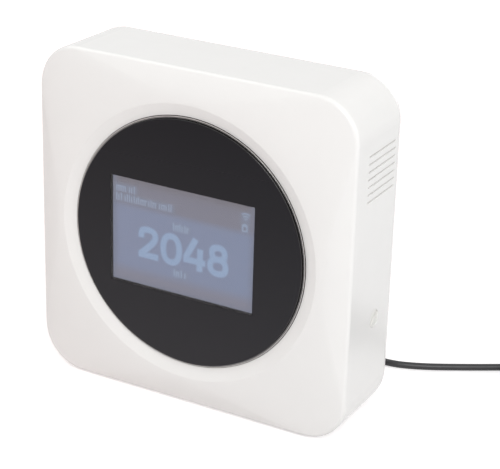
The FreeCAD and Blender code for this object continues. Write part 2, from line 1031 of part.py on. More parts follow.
def lens_bezel():
    """The black ring that holds the glass: a wall outside it and a ledge behind it."""
    outer = dish_radius - of.lip_gap
    wall_inner = outer - of.bezel_wall
    ledge_inner = of.seat_radius + 0.5
    top = dish_floor - of.bezel_rise
    body = turned(
        "lens_bezel",
        [
            (ledge_inner, gasket_back),
            (wall_inner, gasket_back),
            (wall_inner, top),
            (outer, top),
            (outer, bezel_back),
            (ledge_inner, bezel_back),
        ],
    )
    return place(body, (0, 0, middle))


panel_width = of.window_width + of.panel_border * 2
panel_height = of.window_height + of.panel_border * 2


def about_screen(name, width, height, low_y, high_y):
    """A block centred on the display."""
    return box(
        name,
        (of.screen_offset - width / 2, low_y, screen_middle - height / 2),
        (of.screen_offset + width / 2, high_y, screen_middle + height / 2),
    )


def lcd_parts():
    """The display module: glass panel, backlight and the metal tray round them."""
    about_screen("lcd_glass", panel_width, panel_height, panel_front, panel_back)
    about_screen("lcd_backlight", panel_width, panel_height, panel_back, backlight_back)
    wall = of.tray_wall * 2
    fit = of.lip_gap * 2
    outside = about_screen(
        "tray_outside", panel_width + wall + fit, panel_height + wall + fit, panel_front, tray_back
    )
    inside = about_screen(
        "tray_inside", panel_width + fit, panel_height + fit, panel_front - 1, backlight_back
    )
    cut("lcd_frame", outside, inside)


def lcd_flex():
    """The ribbon from the display's tray through the carrier to the main board."""
    thick = 0.2
    start = screen_middle - 6
    bend = screen_middle - 16
    landing = screen_middle - 24
    end = screen_middle - 30
    board_side = board_front - of.flex_plug
    points = [
        (tray_back, start),
        (tray_back, bend),
        (board_side - thick, landing),
        (board_side - thick, end),
        (board_side, end),
        (board_side, landing + 0.1),
        (tray_back + thick, bend + 0.1),
        (tray_back + thick, start),
    ]
    return prism("lcd_flex", points, of.screen_offset - 10, of.screen_offset + 10)


def screw(name, axis, seat, length, radius, head_radius, head_height, head_first=False):
    """A cross-recessed screw. It points against +axis, or along it if head_first."""
    letter = "xyz".index(axis)
    tip = list(seat)
    top = list(seat)
    if head_first:
        top[letter] = size(seat[letter]) - head_height
        low = top[letter]
    else:
        tip[letter] = size(seat[letter]) - length
        low = size(seat[letter]) + head_height * 0.45
    shank = rod(f"{name}_shank", axis, tip, length, radius)
    head = rod(f"{name}_head", axis, top, head_height, head_radius)
    solid = fuse(f"{name}_solid", shank, head)
    high = low + head_height * 0.55
    arms = []
    for index, long_way in enumerate([i for i in range(3) if i != letter]):
        start = [size(seat[i]) - head_radius * 0.14 for i in range(3)]
        end = [size(seat[i]) + head_radius * 0.14 for i in range(3)]
        start[long_way] = size(seat[long_way]) - head_radius * 0.6
        end[long_way] = size(seat[long_way]) + head_radius * 0.6
        start[letter] = low - (0.5 if head_first else 0)
        end[letter] = high + (0 if head_first else 0.5)
        arms.append(box(f"{name}_arm_{index + 1}", start, end))
    return cut(name, solid, fuse(f"{name}_cross", *arms))


def small_screw(name, axis, seat, head_first=False):
    return screw(
        name,
        axis,
        seat,
        of.small_screw_length,
        of.small_screw_radius,
        of.small_head_radius,
        of.small_head_height,
        head_first,
    )


board_low = middle - of.board_height / 2
board_high = middle + of.board_height / 2
board_holes = around(
    of.board_width / 2 - of.board_hole_inset, of.board_height / 2 - of.board_hole_inset
)


def display_carrier():
    """The plate behind the display, with the main board's posts on its back."""
    plate = slab(
        "carrier_plate",
        carrier_half * 2,
        of.carrier_height,
        of.carrier_corner,
        inner_front,
        carrier_back,
        0,
        middle,
    )
    posts = []
    bores = []
    for index, (x, z) in enumerate(board_holes, start=1):
        start = inner_front + 0.5
        posts.append(
            rod(f"board_post_{index}", "y", (x, start, z), board_front - start, of.post_radius)
        )
        depth = of.small_screw_length - of.board_thickness + 0.3
        bores.append(rod(f"post_bore_{index}", "y", (x, board_front - depth, z), depth, post_bore))
    for index, (x, z) in enumerate(around(*carrier_holes), start=1):
        bores.append(
            rod(
                f"carrier_way_{index}",
                "y",
                (x, inner_front - 1, z),
                of.carrier_thickness + 2,
                of.small_screw_radius + of.loose_gap,
            )
        )
    wall = of.tray_wall * 2 + of.lip_gap * 2
    seat = about_screen(
        "tray_seat",
        panel_width + wall + of.loose_gap,
        panel_height + wall + of.loose_gap,
        inner_front - 1,
        tray_back,
    )
    window = about_screen(
        "carrier_window",
        of.carrier_window_width,
        of.carrier_window_height,
        inner_front - 1,
        carrier_back + 1,
    )
    return cut("display_carrier", fuse("carrier_solid", plate, *posts), *bores, seat, window)


def main_board():
    """The main circuit board on the carrier's posts."""
    board = slab(
        "board_blank", of.board_width, of.board_height, 2.0, board_front, board_back, 0, middle
    )
    holes = []
    for index, (x, z) in enumerate(board_holes, start=1):
        holes.append(
            rod(
                f"board_hole_{index}",
                "y",
                (x, board_front - 1, z),
                of.board_thickness + 2,
                of.small_screw_radius + of.loose_gap,
            )
        )
    return cut("main_board", board, *holes)


def on_board(name, x, z, width, height, thickness):
    """A block standing on the back of the main board, by its centre."""
    z = middle + z
    return box(
        name,
        (size(x) - width / 2, board_back, z - height / 2),
        (size(x) + width / 2, board_back + thickness, z + height / 2),
    )


def board_parts():
    """What is soldered to the main board."""
    shield = slab("processor_shield", 26, 24, 1.5, board_back, board_back + 2.6, 2, middle + 14)
    shield.Label = "processor_shield"
    chips = [
        ("memory_chip", -22, 16, 8, 6, 1.2),
        ("driver_chip", -24, -2, 10, 10, 1.4),
        ("clock_chip", 22, -8, 5, 5, 1.0),
        ("regulator_chip", 8, -20, 6.5, 6, 2.2),
        ("guard_chip", -8, -12, 4, 3, 1.0),
    ]
    group("board_chips", *[on_board(*chip) for chip in chips])
    cans = []
    for index, x in enumerate((18.0, 26.0, -18.0), start=1):
        cans.append(rod(f"can_{index}", "y", (x, board_back, middle - 24), 5.4, 3.15))
    group("board_capacitors", *cans)
    flex_block = box(
        "flex_block",
        (of.screen_offset - 12, board_front - of.flex_plug, screen_middle - 30.5),
        (of.screen_offset + 12, board_front, screen_middle - 25),
    )
    sockets = [
        on_board("pm_header", board_edge - 3, 11, 4, 12, header_height),
        on_board("air_header", -board_edge + 3, 11, 4, 10, header_height),
        on_board("supply_header", 0, -(of.board_height / 2 - 3), 10, 4, header_height),
    ]
    group("board_connectors", flex_block, *sockets)


board_edge = of.board_width / 2
header_height = size(4.2)


def fasteners():
    """Screws of the carrier, the boards and the cover, and the cover's brass inserts."""
    carrier = []
    for index, (x, z) in enumerate(around(*carrier_holes), start=1):
        carrier.append(small_screw(f"carrier_screw_{index}", "y", (x, carrier_back, z)))
    group("carrier_screws", *carrier)
    board = []
    for index, (x, z) in enumerate(board_holes, start=1):
        board.append(small_screw(f"board_screw_{index}", "y", (x, board_back, z)))
    group("board_screws", *board)
    supply = []
    for index, (x, y) in enumerate(supply_post_places(), start=1):
        supply.append(small_screw(f"supply_screw_{index}", "z", (x, y, supply_top)))
    group("supply_board_screws", *supply)
    air = []
    for index, (y, z) in enumerate(air_post_places(), start=1):
        air.append(small_screw(f"air_screw_{index}", "x", (air_board_inner, y, z)))
    group("air_board_screws", *air)
    inserts = []
    cover = []
    for index, (x, z) in enumerate(around(boss_spread), start=1):
        start = boss_back - of.insert_length
        inserts.append(
            pipe(
                f"insert_{index}",
                "y",
                (x, start, z),
                of.insert_length,
                of.insert_radius,
                of.screw_radius + 0.02,
            )
        )
        cover.append(
            screw(
                f"cover_screw_{index}",
                "y",
                (x, boss_back + of.screw_seat, z),
                of.screw_length,
                of.screw_radius,
                of.screw_head_radius,
                of.screw_head_height,
            )
        )
    group("cover_inserts", *inserts)
    group("cover_screws", *cover)


# ---------------------------------------------------------------- particle sensor


def pm_block(name, x_low, x_high, y_low, y_high, z_low, z_high):
    """A block inside the particle sensor, Y and Z from the sensor's centre."""
    return box(
        name,
        (x_low, pm_middle_y + y_low, pm_middle_z + z_low),
        (x_high, pm_middle_y + y_high, pm_middle_z + z_high),
    )


fan_y = pm_middle_y + of.pm_depth / 2 - of.fan_radius - 3.2
fan_z = pm_high - of.fan_radius - 3.2
pm_floor = pm_inner + of.pm_wall
pm_board_top = pm_floor + 1.0
fan_top = pm_outer - of.pm_wall - 1.5
motor_top = pm_board_top + 2.0


def particle_sensor():
    """The particle sensor: case, lid, board, laser, fan motor and rotor, plug."""
    half_y = of.pm_depth / 2
    half_z = of.pm_height / 2
    wall = of.pm_wall
    outside = pm_block("pm_outside", pm_floor, pm_outer, -half_y, half_y, -half_z, half_z)
    inside = pm_block(
        "pm_inside",
        pm_floor - 1,
        pm_outer - wall,
        -half_y + wall,
        half_y - wall,
        -half_z + wall,
        half_z - wall,
    )
    outlet = rod(
        "pm_outlet", "x", (pm_outer - wall - 1, fan_y, fan_z), wall + 2, of.fan_radius - 1.5
    )
    inlet = box(
        "pm_inlet",
        (pm_outer - wall - 1, pm_front + 4, pm_high - 16),
        (pm_outer + 1, pm_front + 10, pm_high - 4),
    )
    cut("pm_sensor_case", outside, inside, outlet, inlet)
    pm_block("pm_sensor_lid", pm_inner, pm_floor, -half_y, half_y, -half_z, half_z)
    pm_block(
        "pm_sensor_board",
        pm_floor,
        pm_board_top,
        -half_y + wall + 0.3,
        half_y - wall - 0.3,
        -half_z + wall + 0.3,
        half_z - wall - 0.3,
    )
    stator = rod("fan_stator", "x", (pm_board_top, fan_y, fan_z), 2.0, of.fan_hub_radius - 0.8)
    shaft_length = fan_top - motor_top - 0.6
    shaft = rod("fan_shaft", "x", (motor_top, fan_y, fan_z), shaft_length, of.fan_shaft_radius)
    fuse("pm_fan_motor", stator, shaft)
    laser_holder = box(
        "laser_holder",
        (pm_board_top, pm_front + 6, pm_low + 10),
        (pm_board_top + 9, pm_front + 16, pm_low + 18),
    )
    laser_barrel = rod(
        "laser_barrel", "z", (pm_board_top + 5, pm_front + 11, pm_low + 18), 7, 3.2
    )
    light_trap = box(
        "light_trap",
        (pm_board_top, pm_front + 7, pm_low + 25),
        (pm_board_top + 9, pm_front + 15, pm_low + 29),
    )
    fuse("pm_laser_module", laser_holder, laser_barrel, light_trap)
    box(
        "pm_connector",
        (pm_inner - 3.4, pm_middle_y - 6, pm_low + 20),
        (pm_inner, pm_middle_y + 4, pm_low + 25),
    )
    half_slots = of.slot_pitch * (of.slot_count - 1) / 2 + of.slot_width / 2
    low = slot_height - half_slots
    high = slot_height + half_slots
    ahead = slot_middle - of.slot_length / 2
    behind = slot_middle + of.slot_length / 2
    strip = 1.1
    rim = box(
        "inlet_gasket_rim",
        (pm_outer, ahead - strip, low - strip),
        (inner_half, behind + strip, high + strip),
    )
    void = box(
        "inlet_gasket_void",
        (pm_outer - 1, ahead - 0.1, low - 0.1),
        (inner_half + 1, behind + 0.1, high + 0.1),
    )
    divider = box(
        "inlet_gasket_divider",
        (pm_outer, pm_front + 11.5, low - 0.2),
        (inner_half, pm_front + 13.1, high + 0.2),
    )
    fuse("inlet_gasket", cut("inlet_gasket_ring", rim, void), divider)


def pm_fan_rotor():
    """The fan: a hub on its shaft and seven swept blades, in a pattern."""
    body = new_body("pm_fan_rotor")
    start = 0.6
    length = fan_top - motor_top - start - 0.4
    hub = new_sketch(body, "rotor_hub_circle", "XY_Plane", start)
    draw_circle(hub, of.fan_hub_radius)
    draw_circle(hub, of.fan_shaft_radius + of.running_gap)
    pad(body, "rotor_hub", hub, length)
    blade = new_sketch(body, "rotor_blade_outline", "XY_Plane", start)
    root = of.fan_hub_radius - 0.6
    tip = of.fan_radius
    draw_outline(blade, [(root, 0.6), (root, -0.6), (tip, 2.2), (tip - 0.3, 3.2)])
    first = pad(body, "rotor_blade", blade, length)
    doc.recompute()
    pattern = body.newObject("PartDesign::PolarPattern", "rotor_blades")
    pattern.Originals = [first]
    pattern.Axis = (hub, ["N_Axis"])
    pattern.Angle = 360
    pattern.Occurrences = 7
    body.Tip = pattern
    return place(body, (motor_top, fan_y, fan_z), AXES["x"])


# ---------------------------------------------------------------- air sensor board


def air_sensors():
    """The gas sensors' board on two posts of the left wall, and what it carries."""
    y = slot_middle
    low = slot_height - 23.5
    high = low + of.air_board_height
    blank = box(
        "air_board_blank",
        (air_board_outer, y - of.air_board_depth / 2, low),
        (air_board_inner, y + of.air_board_depth / 2, high),
    )
    holes = []
    for index, (hole_y, hole_z) in enumerate(air_post_places(), start=1):
        holes.append(
            rod(
                f"air_way_{index}",
                "x",
                (air_board_outer - 1, hole_y, hole_z),
                of.board_thickness + 2,
                of.small_screw_radius + of.loose_gap,
            )
        )
    cut("air_sensor_board", blank, *holes)
    co2_low = high - of.co2_height - 0.5
    box(
        "co2_sensor_body",
        (air_board_inner, y - of.co2_depth / 2, co2_low),
        (air_board_inner + of.co2_thickness, y + of.co2_depth / 2, co2_low + of.co2_height),
    )
    box(
        "co2_membrane",
        (air_board_inner + of.co2_thickness, y - 5, co2_low + 12),
        (air_board_inner + of.co2_thickness + 0.5, y + 5, co2_low + 28),
    )
    chips = [
        ("climate_chip", 6.0, 17.0, 2.5, 0.9),
        ("gas_chip", -4.0, 19.0, 3.0, 1.1),
        ("pressure_chip", -10.0, 26.0, 2.4, 0.9),
    ]
    solids = []
    for name, side, up, across, tall in chips:
        solids.append(
            box(
                name,
                (air_board_outer - tall, y + side, low + up),
                (air_board_outer, y + side + across, low + up + across),
            )
        )
    group("gas_chips", *solids)
    box(
        "air_connector",
        (air_board_inner, y - 4, low + 0.5),
        (air_board_inner + 4.2, y + 4, low + 4.5),
    )


# ---------------------------------------------------------------- supply board


def supply_parts():
    """The supply board with its socket, switch, coil and header."""
    blank = box(
        "supply_blank",
        (supply_left, supply_front, of.supply_board_height),
        (supply_left + of.supply_board_width, supply_back, supply_top),
    )
    holes = []
    for index, (x, y) in enumerate(supply_post_places(), start=1):
        holes.append(
            rod(
                f"supply_way_{index}",
                "z",
                (x, y, of.supply_board_height - 1),
                of.board_thickness + 2,
                of.small_screw_radius + of.loose_gap,
            )
        )
    cut("supply_board", blank, *holes)
    half = of.socket_width / 2
    mouth = well_floor_back - 0.2
    shell = box(
        "socket_shell",
        (-half, mouth - of.socket_length, supply_top),
        (half, mouth, supply_top + of.socket_height),
    )
    hollow = box(
        "socket_hollow",
        (-half + 0.3, mouth - plug_reach - 0.3, supply_top + 0.3),
        (half - 0.3, mouth + 1, supply_top + of.socket_height - 0.3),
    )
    cut("usb_socket", shell, hollow)
    coil_block = box(
        "supply_coil",
        (-19, supply_front + 6, supply_top),
        (-12, supply_front + 13, supply_top + 4),
    )
    small_can = rod("supply_can", "z", (14, supply_front + 5, supply_top), 6, 2.5)
    group("supply_parts", coil_block, small_can)
    box(
        "supply_connector",
        (-6, supply_front + 1, supply_top),
        (4, supply_front + 5, supply_top + header_height),
    )
    body = box(
        "switch_block",
        (of.button_place - 3, plunger_seat - 4.5, supply_top),
        (of.button_place + 3, plunger_seat, supply_top + 6),
    )
    bore = rod(
        "switch_bore",
        "y",
        (of.button_place, plunger_seat - 2.2, button_middle),
        3,
        of.stem_radius - 0.3,
    )
    cut("switch_body", body, bore)
    rod(
        "switch_plunger",
        "y",
        (of.button_place, plunger_seat - 0.9, button_middle),
        stem_end - plunger_seat + 0.9,
        of.stem_radius - 0.4,
    )


plug_reach = size(6.0)
plunger_seat = supply_back - 1.6
stem_end = plunger_seat + of.button_travel + 0.6


def power_button():
    """The rear button: a dished cap, a flange behind the cover and a long stem."""
    face = back - of.button_recess
    flange_back = inner_back - of.loose_gap
    flange_front = flange_back - 1.2
    body = turned(
        "power_button",
        [
            (0, stem_end),
            (of.stem_radius, stem_end),
            (of.stem_radius, flange_front),
            (of.flange_radius, flange_front),
            (of.flange_radius, flange_back),
            (of.button_radius, flange_back),
            (of.button_radius, face - 0.5),
            (of.button_radius - 0.5, face),
            (of.button_radius - 1.4, face),
            (0, face - 0.5),
        ],
    )
    return place(body, (of.button_place, 0, button_middle))


# ---------------------------------------------------------------- side lock

cam_outer = inner_half - of.lock_boss_length - 0.3
cam_inner = cam_outer - of.cam_thickness
clip_inner = cam_inner - 0.8


def side_lock():
    """The quarter-turn lock in the right wall: slotted head, shank, cam and clip."""
    shank_end = clip_inner - 0.8
    place_yz = (of.lock_depth_place, lock_height)
    head = rod(
        "lock_head",
        "x",
        (lock_seat + 0.05, *place_yz),
        of.lock_head_thickness,
        of.lock_head_radius,
    )
    shank = rod(
        "lock_shank",
        "x",
        (shank_end, *place_yz),
        lock_seat + 0.1 - shank_end,
        of.lock_shank_radius,
    )
    slot = doc.addObject("Part::Box", "lock_slot")
    reach = of.lock_head_radius * 2 + 2
    bind(slot, Length=2, Width=reach, Height=of.lock_slot_width)
    turn = Rotation(Vector(1, 0, 0), of.lock_slot_angle.number)
    spot = of.lock_slot_angle.number * math.pi / 180
    half_reach = reach / 2
    half_slot = of.lock_slot_width / 2
    across = half_reach * -math.cos(spot) + half_slot * math.sin(spot)
    up = half_reach * -math.sin(spot) - half_slot * math.cos(spot)
    place(
        slot,
        (lock_face - 0.8, of.lock_depth_place + across, lock_height + up),
        turn,
    )
    cut("side_lock", fuse("lock_solid", head, shank), slot)

    hub = rod("cam_hub", "x", (cam_inner, *place_yz), of.cam_thickness, of.lock_shank_radius + 1.8)
    tongue = box(
        "cam_tongue",
        (cam_inner, of.lock_depth_place - of.cam_width / 2, lock_height),
        (cam_outer, of.lock_depth_place + of.cam_width / 2, lock_height + of.cam_reach + 2),
    )
    limit = rod("cam_limit", "x", (cam_inner, *place_yz), of.cam_thickness, of.cam_reach)
    bore = rod(
        "cam_bore", "x", (cam_inner - 1, *place_yz), of.cam_thickness + 2, of.lock_shank_radius
    )
    cut("lock_cam", fuse("cam_solid", hub, common("cam_arm", tongue, limit)), bore)

    ring = pipe(
        "clip_ring",
        "x",
        (clip_inner, *place_yz),
        cam_inner - clip_inner,
        of.lock_shank_radius + 1.6,
        of.lock_shank_radius,
    )
    gap = box(
        "clip_gap",
        (clip_inner - 1, of.lock_depth_place - 1.6, lock_height - 6),
        (cam_inner, of.lock_depth_place + 1.6, lock_height),
    )
    cut("lock_clip", ring, gap)


# ---------------------------------------------------------------- feet


def rubber_feet():
    """Four soft discs, let into the bottom of the housing."""
    feet = []
    for index, (x, y) in enumerate(foot_places(), start=1):
        feet.append(
            rod(
                f"foot_{index}",
                "z",
                (x, y, 0),
                of.foot_thickness,
                of.foot_radius - of.lip_gap,
            )
        )
    group("rubber_feet", *feet)


# ---------------------------------------------------------------- leads inside

HARNESS_RADIUS = 1.4


def harnesses():
    """The bundles of wires between the boards."""
    header_back = (board_back + header_height).number
    pm_header = ((board_edge - 3).number, header_back, (middle + 11).number)
    pm_plug = ((pm_inner - 3.4).number, (pm_middle_y - 1).number, (pm_low + 22.5).number)
    strand(
        "pm_harness",
        [
            pm_header,
            (pm_header[0], pm_header[1] + 4.5, pm_header[2]),
            (pm_header[0] - 1.5, pm_plug[1] - 0.5, pm_header[2] + 6),
            (pm_plug[0] - 5, pm_plug[1], pm_plug[2]),
            pm_plug,
        ],
        HARNESS_RADIUS,
    )
    air_header = (-(board_edge - 3).number, header_back, (middle + 11).number)
    air_plug = (
        (air_board_inner + 4.2).number,
        slot_middle.number,
        (slot_height - 21).number,
    )
    strand(
        "air_harness",
        [
            air_header,
            (air_header[0], air_header[1] + 5, air_header[2]),
            (air_header[0] - 7, air_plug[1] + 1, air_header[2] + 5),
            (air_plug[0] + 6, air_plug[1], air_plug[2]),
            air_plug,
        ],
        HARNESS_RADIUS,
    )
    supply_header = (0.0, header_back, (board_low + 3).number)
    supply_plug = (-1.0, (supply_front + 3).number, (supply_top + header_height).number)
    strand(
        "supply_harness",
        [
            supply_header,
            (supply_header[0], supply_header[1] + 5, supply_header[2]),
            (supply_plug[0] + 2, supply_header[1] + 4, supply_plug[2] + 14),
            (supply_plug[0], supply_plug[1], supply_plug[2] + 6),
            supply_plug,
        ],
        HARNESS_RADIUS,
    )


# ---------------------------------------------------------------- supply lead

# The lead leaves the back, comes down and goes off to the right along the floor.
LEAD_ROUTE = [
    (0.0, 50.0, 16.23),
    (9.5, 63.5, 11.5),
    (26.5, 68.0, 4.3),
    (45.0, 63.5, 1.65),
    (62.5, 61.0, 1.65),
    (77.5, 66.6, 1.65),
    (94.0, 76.4, 1.65),
    (109.6, 86.4, 1.65),
    (120.3, 93.6, 1.65),
]
COIL_CENTRE = (143.0, 81.0)
COIL_RADIUS = 18.2
COIL_COLUMNS = 4
COIL_LAYERS = 3
TAIL_ROUTE = [
    (166.9, 71.4, 4.9),
    (168.6, 60.5, 4.0),
    (167.0, 49.5, 4.0),
]


def supply_lead():
    """The plug in the well, the lead, its coil and tie, and the far plug."""
    plug_start = well_floor_back + 0.2
    tongue = slab(
        "plug_shell",
        8.3,
        2.5,
        1.2,
        well_floor_back - 0.2 - plug_reach,
        plug_start,
        0,
        socket_middle,
    )
    tongue.Label = "plug_shell"
    grip = slab(
        "plug_body",
        of.plug_width,
        of.plug_height,
        2.4,
        plug_start,
        plug_start + of.plug_length,
        0,
        socket_middle,
    )
    grip.Label = "plug_body"
    relief_start = plug_start + of.plug_length
    relief_end = relief_start + of.relief_length
    cone(
        "cable_strain_relief",
        "y",
        (0, relief_start, socket_middle),
        of.relief_length,
        of.plug_height / 2 - 0.3,
        of.cord_radius + 0.5,
    )
    radius = of.cord_radius.number
    start = (0.0, relief_end.number, socket_middle.number)
    strand("cable_lead", [start, *LEAD_ROUTE], radius)

    pitch = radius * 2
    width = COIL_COLUMNS * pitch
    height = COIL_LAYERS * pitch
    low = COIL_RADIUS - width / 2
    high = COIL_RADIUS + width / 2
    bevel = radius * 0.6
    profile = [
        (low, bevel),
        (low + bevel, 0),
        (high - bevel, 0),
        (high, bevel),
        (high, height - bevel),
        (high - bevel, height),
        (low + bevel, height),
        (low, height - bevel),
    ]
    coil = turned("cable_coil", profile, role="XZ_Plane")
    place(coil, (*COIL_CENTRE, 0))

    outside = box(
        "tie_outside",
        (COIL_CENTRE[0] - high - 1.0, COIL_CENTRE[1] - 3, 0.02),
        (COIL_CENTRE[0] - low + 1.0, COIL_CENTRE[1] + 3, height + 1.0),
    )
    loop = turned("tie_loop", profile, role="XZ_Plane")
    place(loop, (*COIL_CENTRE, 0))
    cut("coil_tie", outside, loop)

    strand("cable_tail", TAIL_ROUTE, radius)
    end = Vector(*TAIL_ROUTE[-1])
    last_run = end - Vector(*TAIL_ROUTE[-2])
    heading = math.degrees(math.atan2(last_run.y, last_run.x))
    turn = Rotation(Vector(0, 0, 1), heading).multiply(AXES["x"])
    boot = doc.addObject("Part::Cone", "supply_plug_relief")
    boot.Radius1 = radius + 0.3
    boot.Radius2 = 3.2
    boot.Height = 8
    boot.Placement = Placement(end, turn)
    flat = Rotation(Vector(0, 0, 1), heading - 90)
    ahead = flat.multVec(Vector(0, 1, 0))
    body = slab("supply_plug_body", 15.0, 7.9, 2.0, 0, 26)
    body.Label = "supply_plug_body"
    body.Placement = Placement(end + ahead * 8, flat)
    shell = slab("supply_plug_shell_blank", 12.0, 4.5, 0.4, 0, 12)
    room = slab("supply_plug_shell_room", 11.4, 3.9, 0.2, 0.5, 13)
    tongue = slab("supply_plug_tongue", 11.4, 1.8, 0.2, 0, 11.5, 0, -0.9)
    plug = fuse("supply_plug_shell", cut("supply_plug_can", shell, room), tongue)
    plug.Placement = Placement(end + ahead * 34, flat)


# ---------------------------------------------------------------- make and write

NODES = [
    "front_housing",
    "rear_cover",
    "display_lens",
    "lens_mask",
    "lens_gasket",
    "lens_bezel",
    "lcd_glass",
    "lcd_backlight",
    "lcd_frame",
    "lcd_flex",
    "display_carrier",
    "carrier_screws",
    "main_board",
    "processor_shield",
    "board_chips",
    "board_capacitors",
    "board_connectors",
    "board_screws",
    "pm_sensor_case",
    "pm_sensor_lid",
    "pm_sensor_board",
    "pm_fan_motor",
    "pm_fan_rotor",
    "pm_laser_module",
    "pm_connector",
    "inlet_gasket",
    "air_sensor_board",
    "air_board_screws",
    "co2_sensor_body",
    "co2_membrane",
    "gas_chips",
    "air_connector",
    "supply_board",
    "supply_board_screws",
    "supply_parts",
    "supply_connector",
    "usb_socket",
    "switch_body",
    "switch_plunger",
    "power_button",
    "side_lock",
    "lock_cam",
    "lock_clip",
    "cover_inserts",
    "cover_screws",
    "rubber_feet",
    "pm_harness",
    "air_harness",
    "supply_harness",
    "plug_shell",
    "plug_body",
    "cable_strain_relief",
    "cable_lead",
    "cable_coil",
    "cable_tail",
    "coil_tie",
    "supply_plug_relief",
    "supply_plug_body",
    "supply_plug_shell",
]


def build():
    form = case_form()
    front_housing(form)
    rear_cover(form)
    display_lens()
    lens_mask()
    lens_gasket()
    lens_bezel()
    lcd_parts()
    lcd_flex()
    display_carrier()
    main_board()
    board_parts()
    fasteners()
    particle_sensor()
    pm_fan_rotor()
    air_sensors()
    supply_parts()
    power_button()
    side_lock()
    rubber_feet()
    harnesses()
    supply_lead()
    doc.recompute()


def check():
    """Stops if any feature failed or any sub-part is empty or invalid."""
    for made in doc.Objects:
        if "Invalid" in made.State or "Error" in made.State:
            raise ValueError(f"{made.Name}: {made.State}")
    for name in NODES:
        found = doc.getObjectsByLabel(name)
        if len(found) != 1:
            raise ValueError(f"{name}: {len(found)} objects")
        shape = found[0].Shape
        if shape.isNull() or not shape.isValid() or not shape.Solids:
            raise ValueError(f"{name}: no valid solid")


build()
check()
os.makedirs("parts", exist_ok=True)
for name in NODES:
    doc.getObjectsByLabel(name)[0].Shape.exportStep(f"parts/{name}.step")
print(f"{len(NODES)} sub-parts written")
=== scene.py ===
"""Looks of the air quality monitor: a square white case with a round black display.

Metres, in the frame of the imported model: +Z is up, the display faces -Y. Sizes written in
millimetres are turned into metres with MM.
"""

import math

import bmesh
import bpy
from mathutils import Matrix, Vector


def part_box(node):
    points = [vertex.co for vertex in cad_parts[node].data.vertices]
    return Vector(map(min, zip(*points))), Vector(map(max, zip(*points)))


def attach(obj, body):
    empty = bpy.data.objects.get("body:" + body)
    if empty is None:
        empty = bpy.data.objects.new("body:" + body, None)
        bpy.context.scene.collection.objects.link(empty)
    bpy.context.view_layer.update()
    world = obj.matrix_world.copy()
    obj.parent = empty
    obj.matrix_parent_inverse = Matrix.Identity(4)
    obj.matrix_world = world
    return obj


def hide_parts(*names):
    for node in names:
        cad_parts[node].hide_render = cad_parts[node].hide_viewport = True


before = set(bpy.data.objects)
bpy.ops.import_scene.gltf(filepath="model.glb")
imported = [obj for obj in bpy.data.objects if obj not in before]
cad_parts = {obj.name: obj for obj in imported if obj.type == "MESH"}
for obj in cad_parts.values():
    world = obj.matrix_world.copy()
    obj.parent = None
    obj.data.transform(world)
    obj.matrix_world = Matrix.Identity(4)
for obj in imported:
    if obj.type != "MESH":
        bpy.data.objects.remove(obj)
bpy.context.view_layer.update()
scene = bpy.context.scene
scene.view_settings.view_transform = "Standard"
MM = 0.001


def add_object(name, data):
    """A new object in the scene."""
    made = bpy.data.objects.new(name, data)
    scene.collection.objects.link(made)
    return made


# ---------------------------------------------------------------- camera

CAMERA_AIM = Vector((0.01356, 0.00750, 0.07697))
CAMERA_DISTANCE = 0.7954
CAMERA_AZIMUTH, CAMERA_HEIGHT, CAMERA_ROLL = 28.95, 22.76, 1.65  # degrees
CAMERA_LENS, CAMERA_SENSOR = 125.75, 36  # mm
CAMERA_NEAR = 0.01


def make_camera():
    """The view of the front, from the right and above."""
    turn, rise, roll = map(math.radians, (CAMERA_AZIMUTH, CAMERA_HEIGHT, CAMERA_ROLL))
    level = math.cos(rise)
    back = Vector((math.sin(turn) * level, -math.cos(turn) * level, math.sin(rise)))
    right = Vector((math.cos(turn), math.sin(turn), 0))
    up = back.cross(right)
    across = right * math.cos(roll) + up * math.sin(roll)
    upright = up * math.cos(roll) - right * math.sin(roll)
    data = bpy.data.cameras.new("camera")
    data.lens = CAMERA_LENS
    data.sensor_width = CAMERA_SENSOR
    data.clip_start = CAMERA_NEAR
    camera = add_object("camera", data)
    turned_to = Matrix((across, upright, back)).transposed().to_4x4()
    camera.matrix_world = Matrix.Translation(CAMERA_AIM + back * CAMERA_DISTANCE) @ turned_to
    scene.camera = camera


make_camera()

# ---------------------------------------------------------------- shader helpers

NOISE_LOW, NOISE_HIGH = 0.3, 0.7  # most of a noise lies between these


def to_linear(*values):
    """A colour written as 0 to 255 in display values, as linear RGBA."""
    out = []
    for value in values:
        v = value / 255
        out.append(v / 12.92 if v <= 0.04045 else ((v + 0.055) / 1.055) ** 2.4)
    return (*out, 1.0)


def scaled(colour, share):
    """A linear colour made darker or lighter by a share, never past full."""
    return (*[min(1.0, c * share) for c in colour[:3]], 1.0)


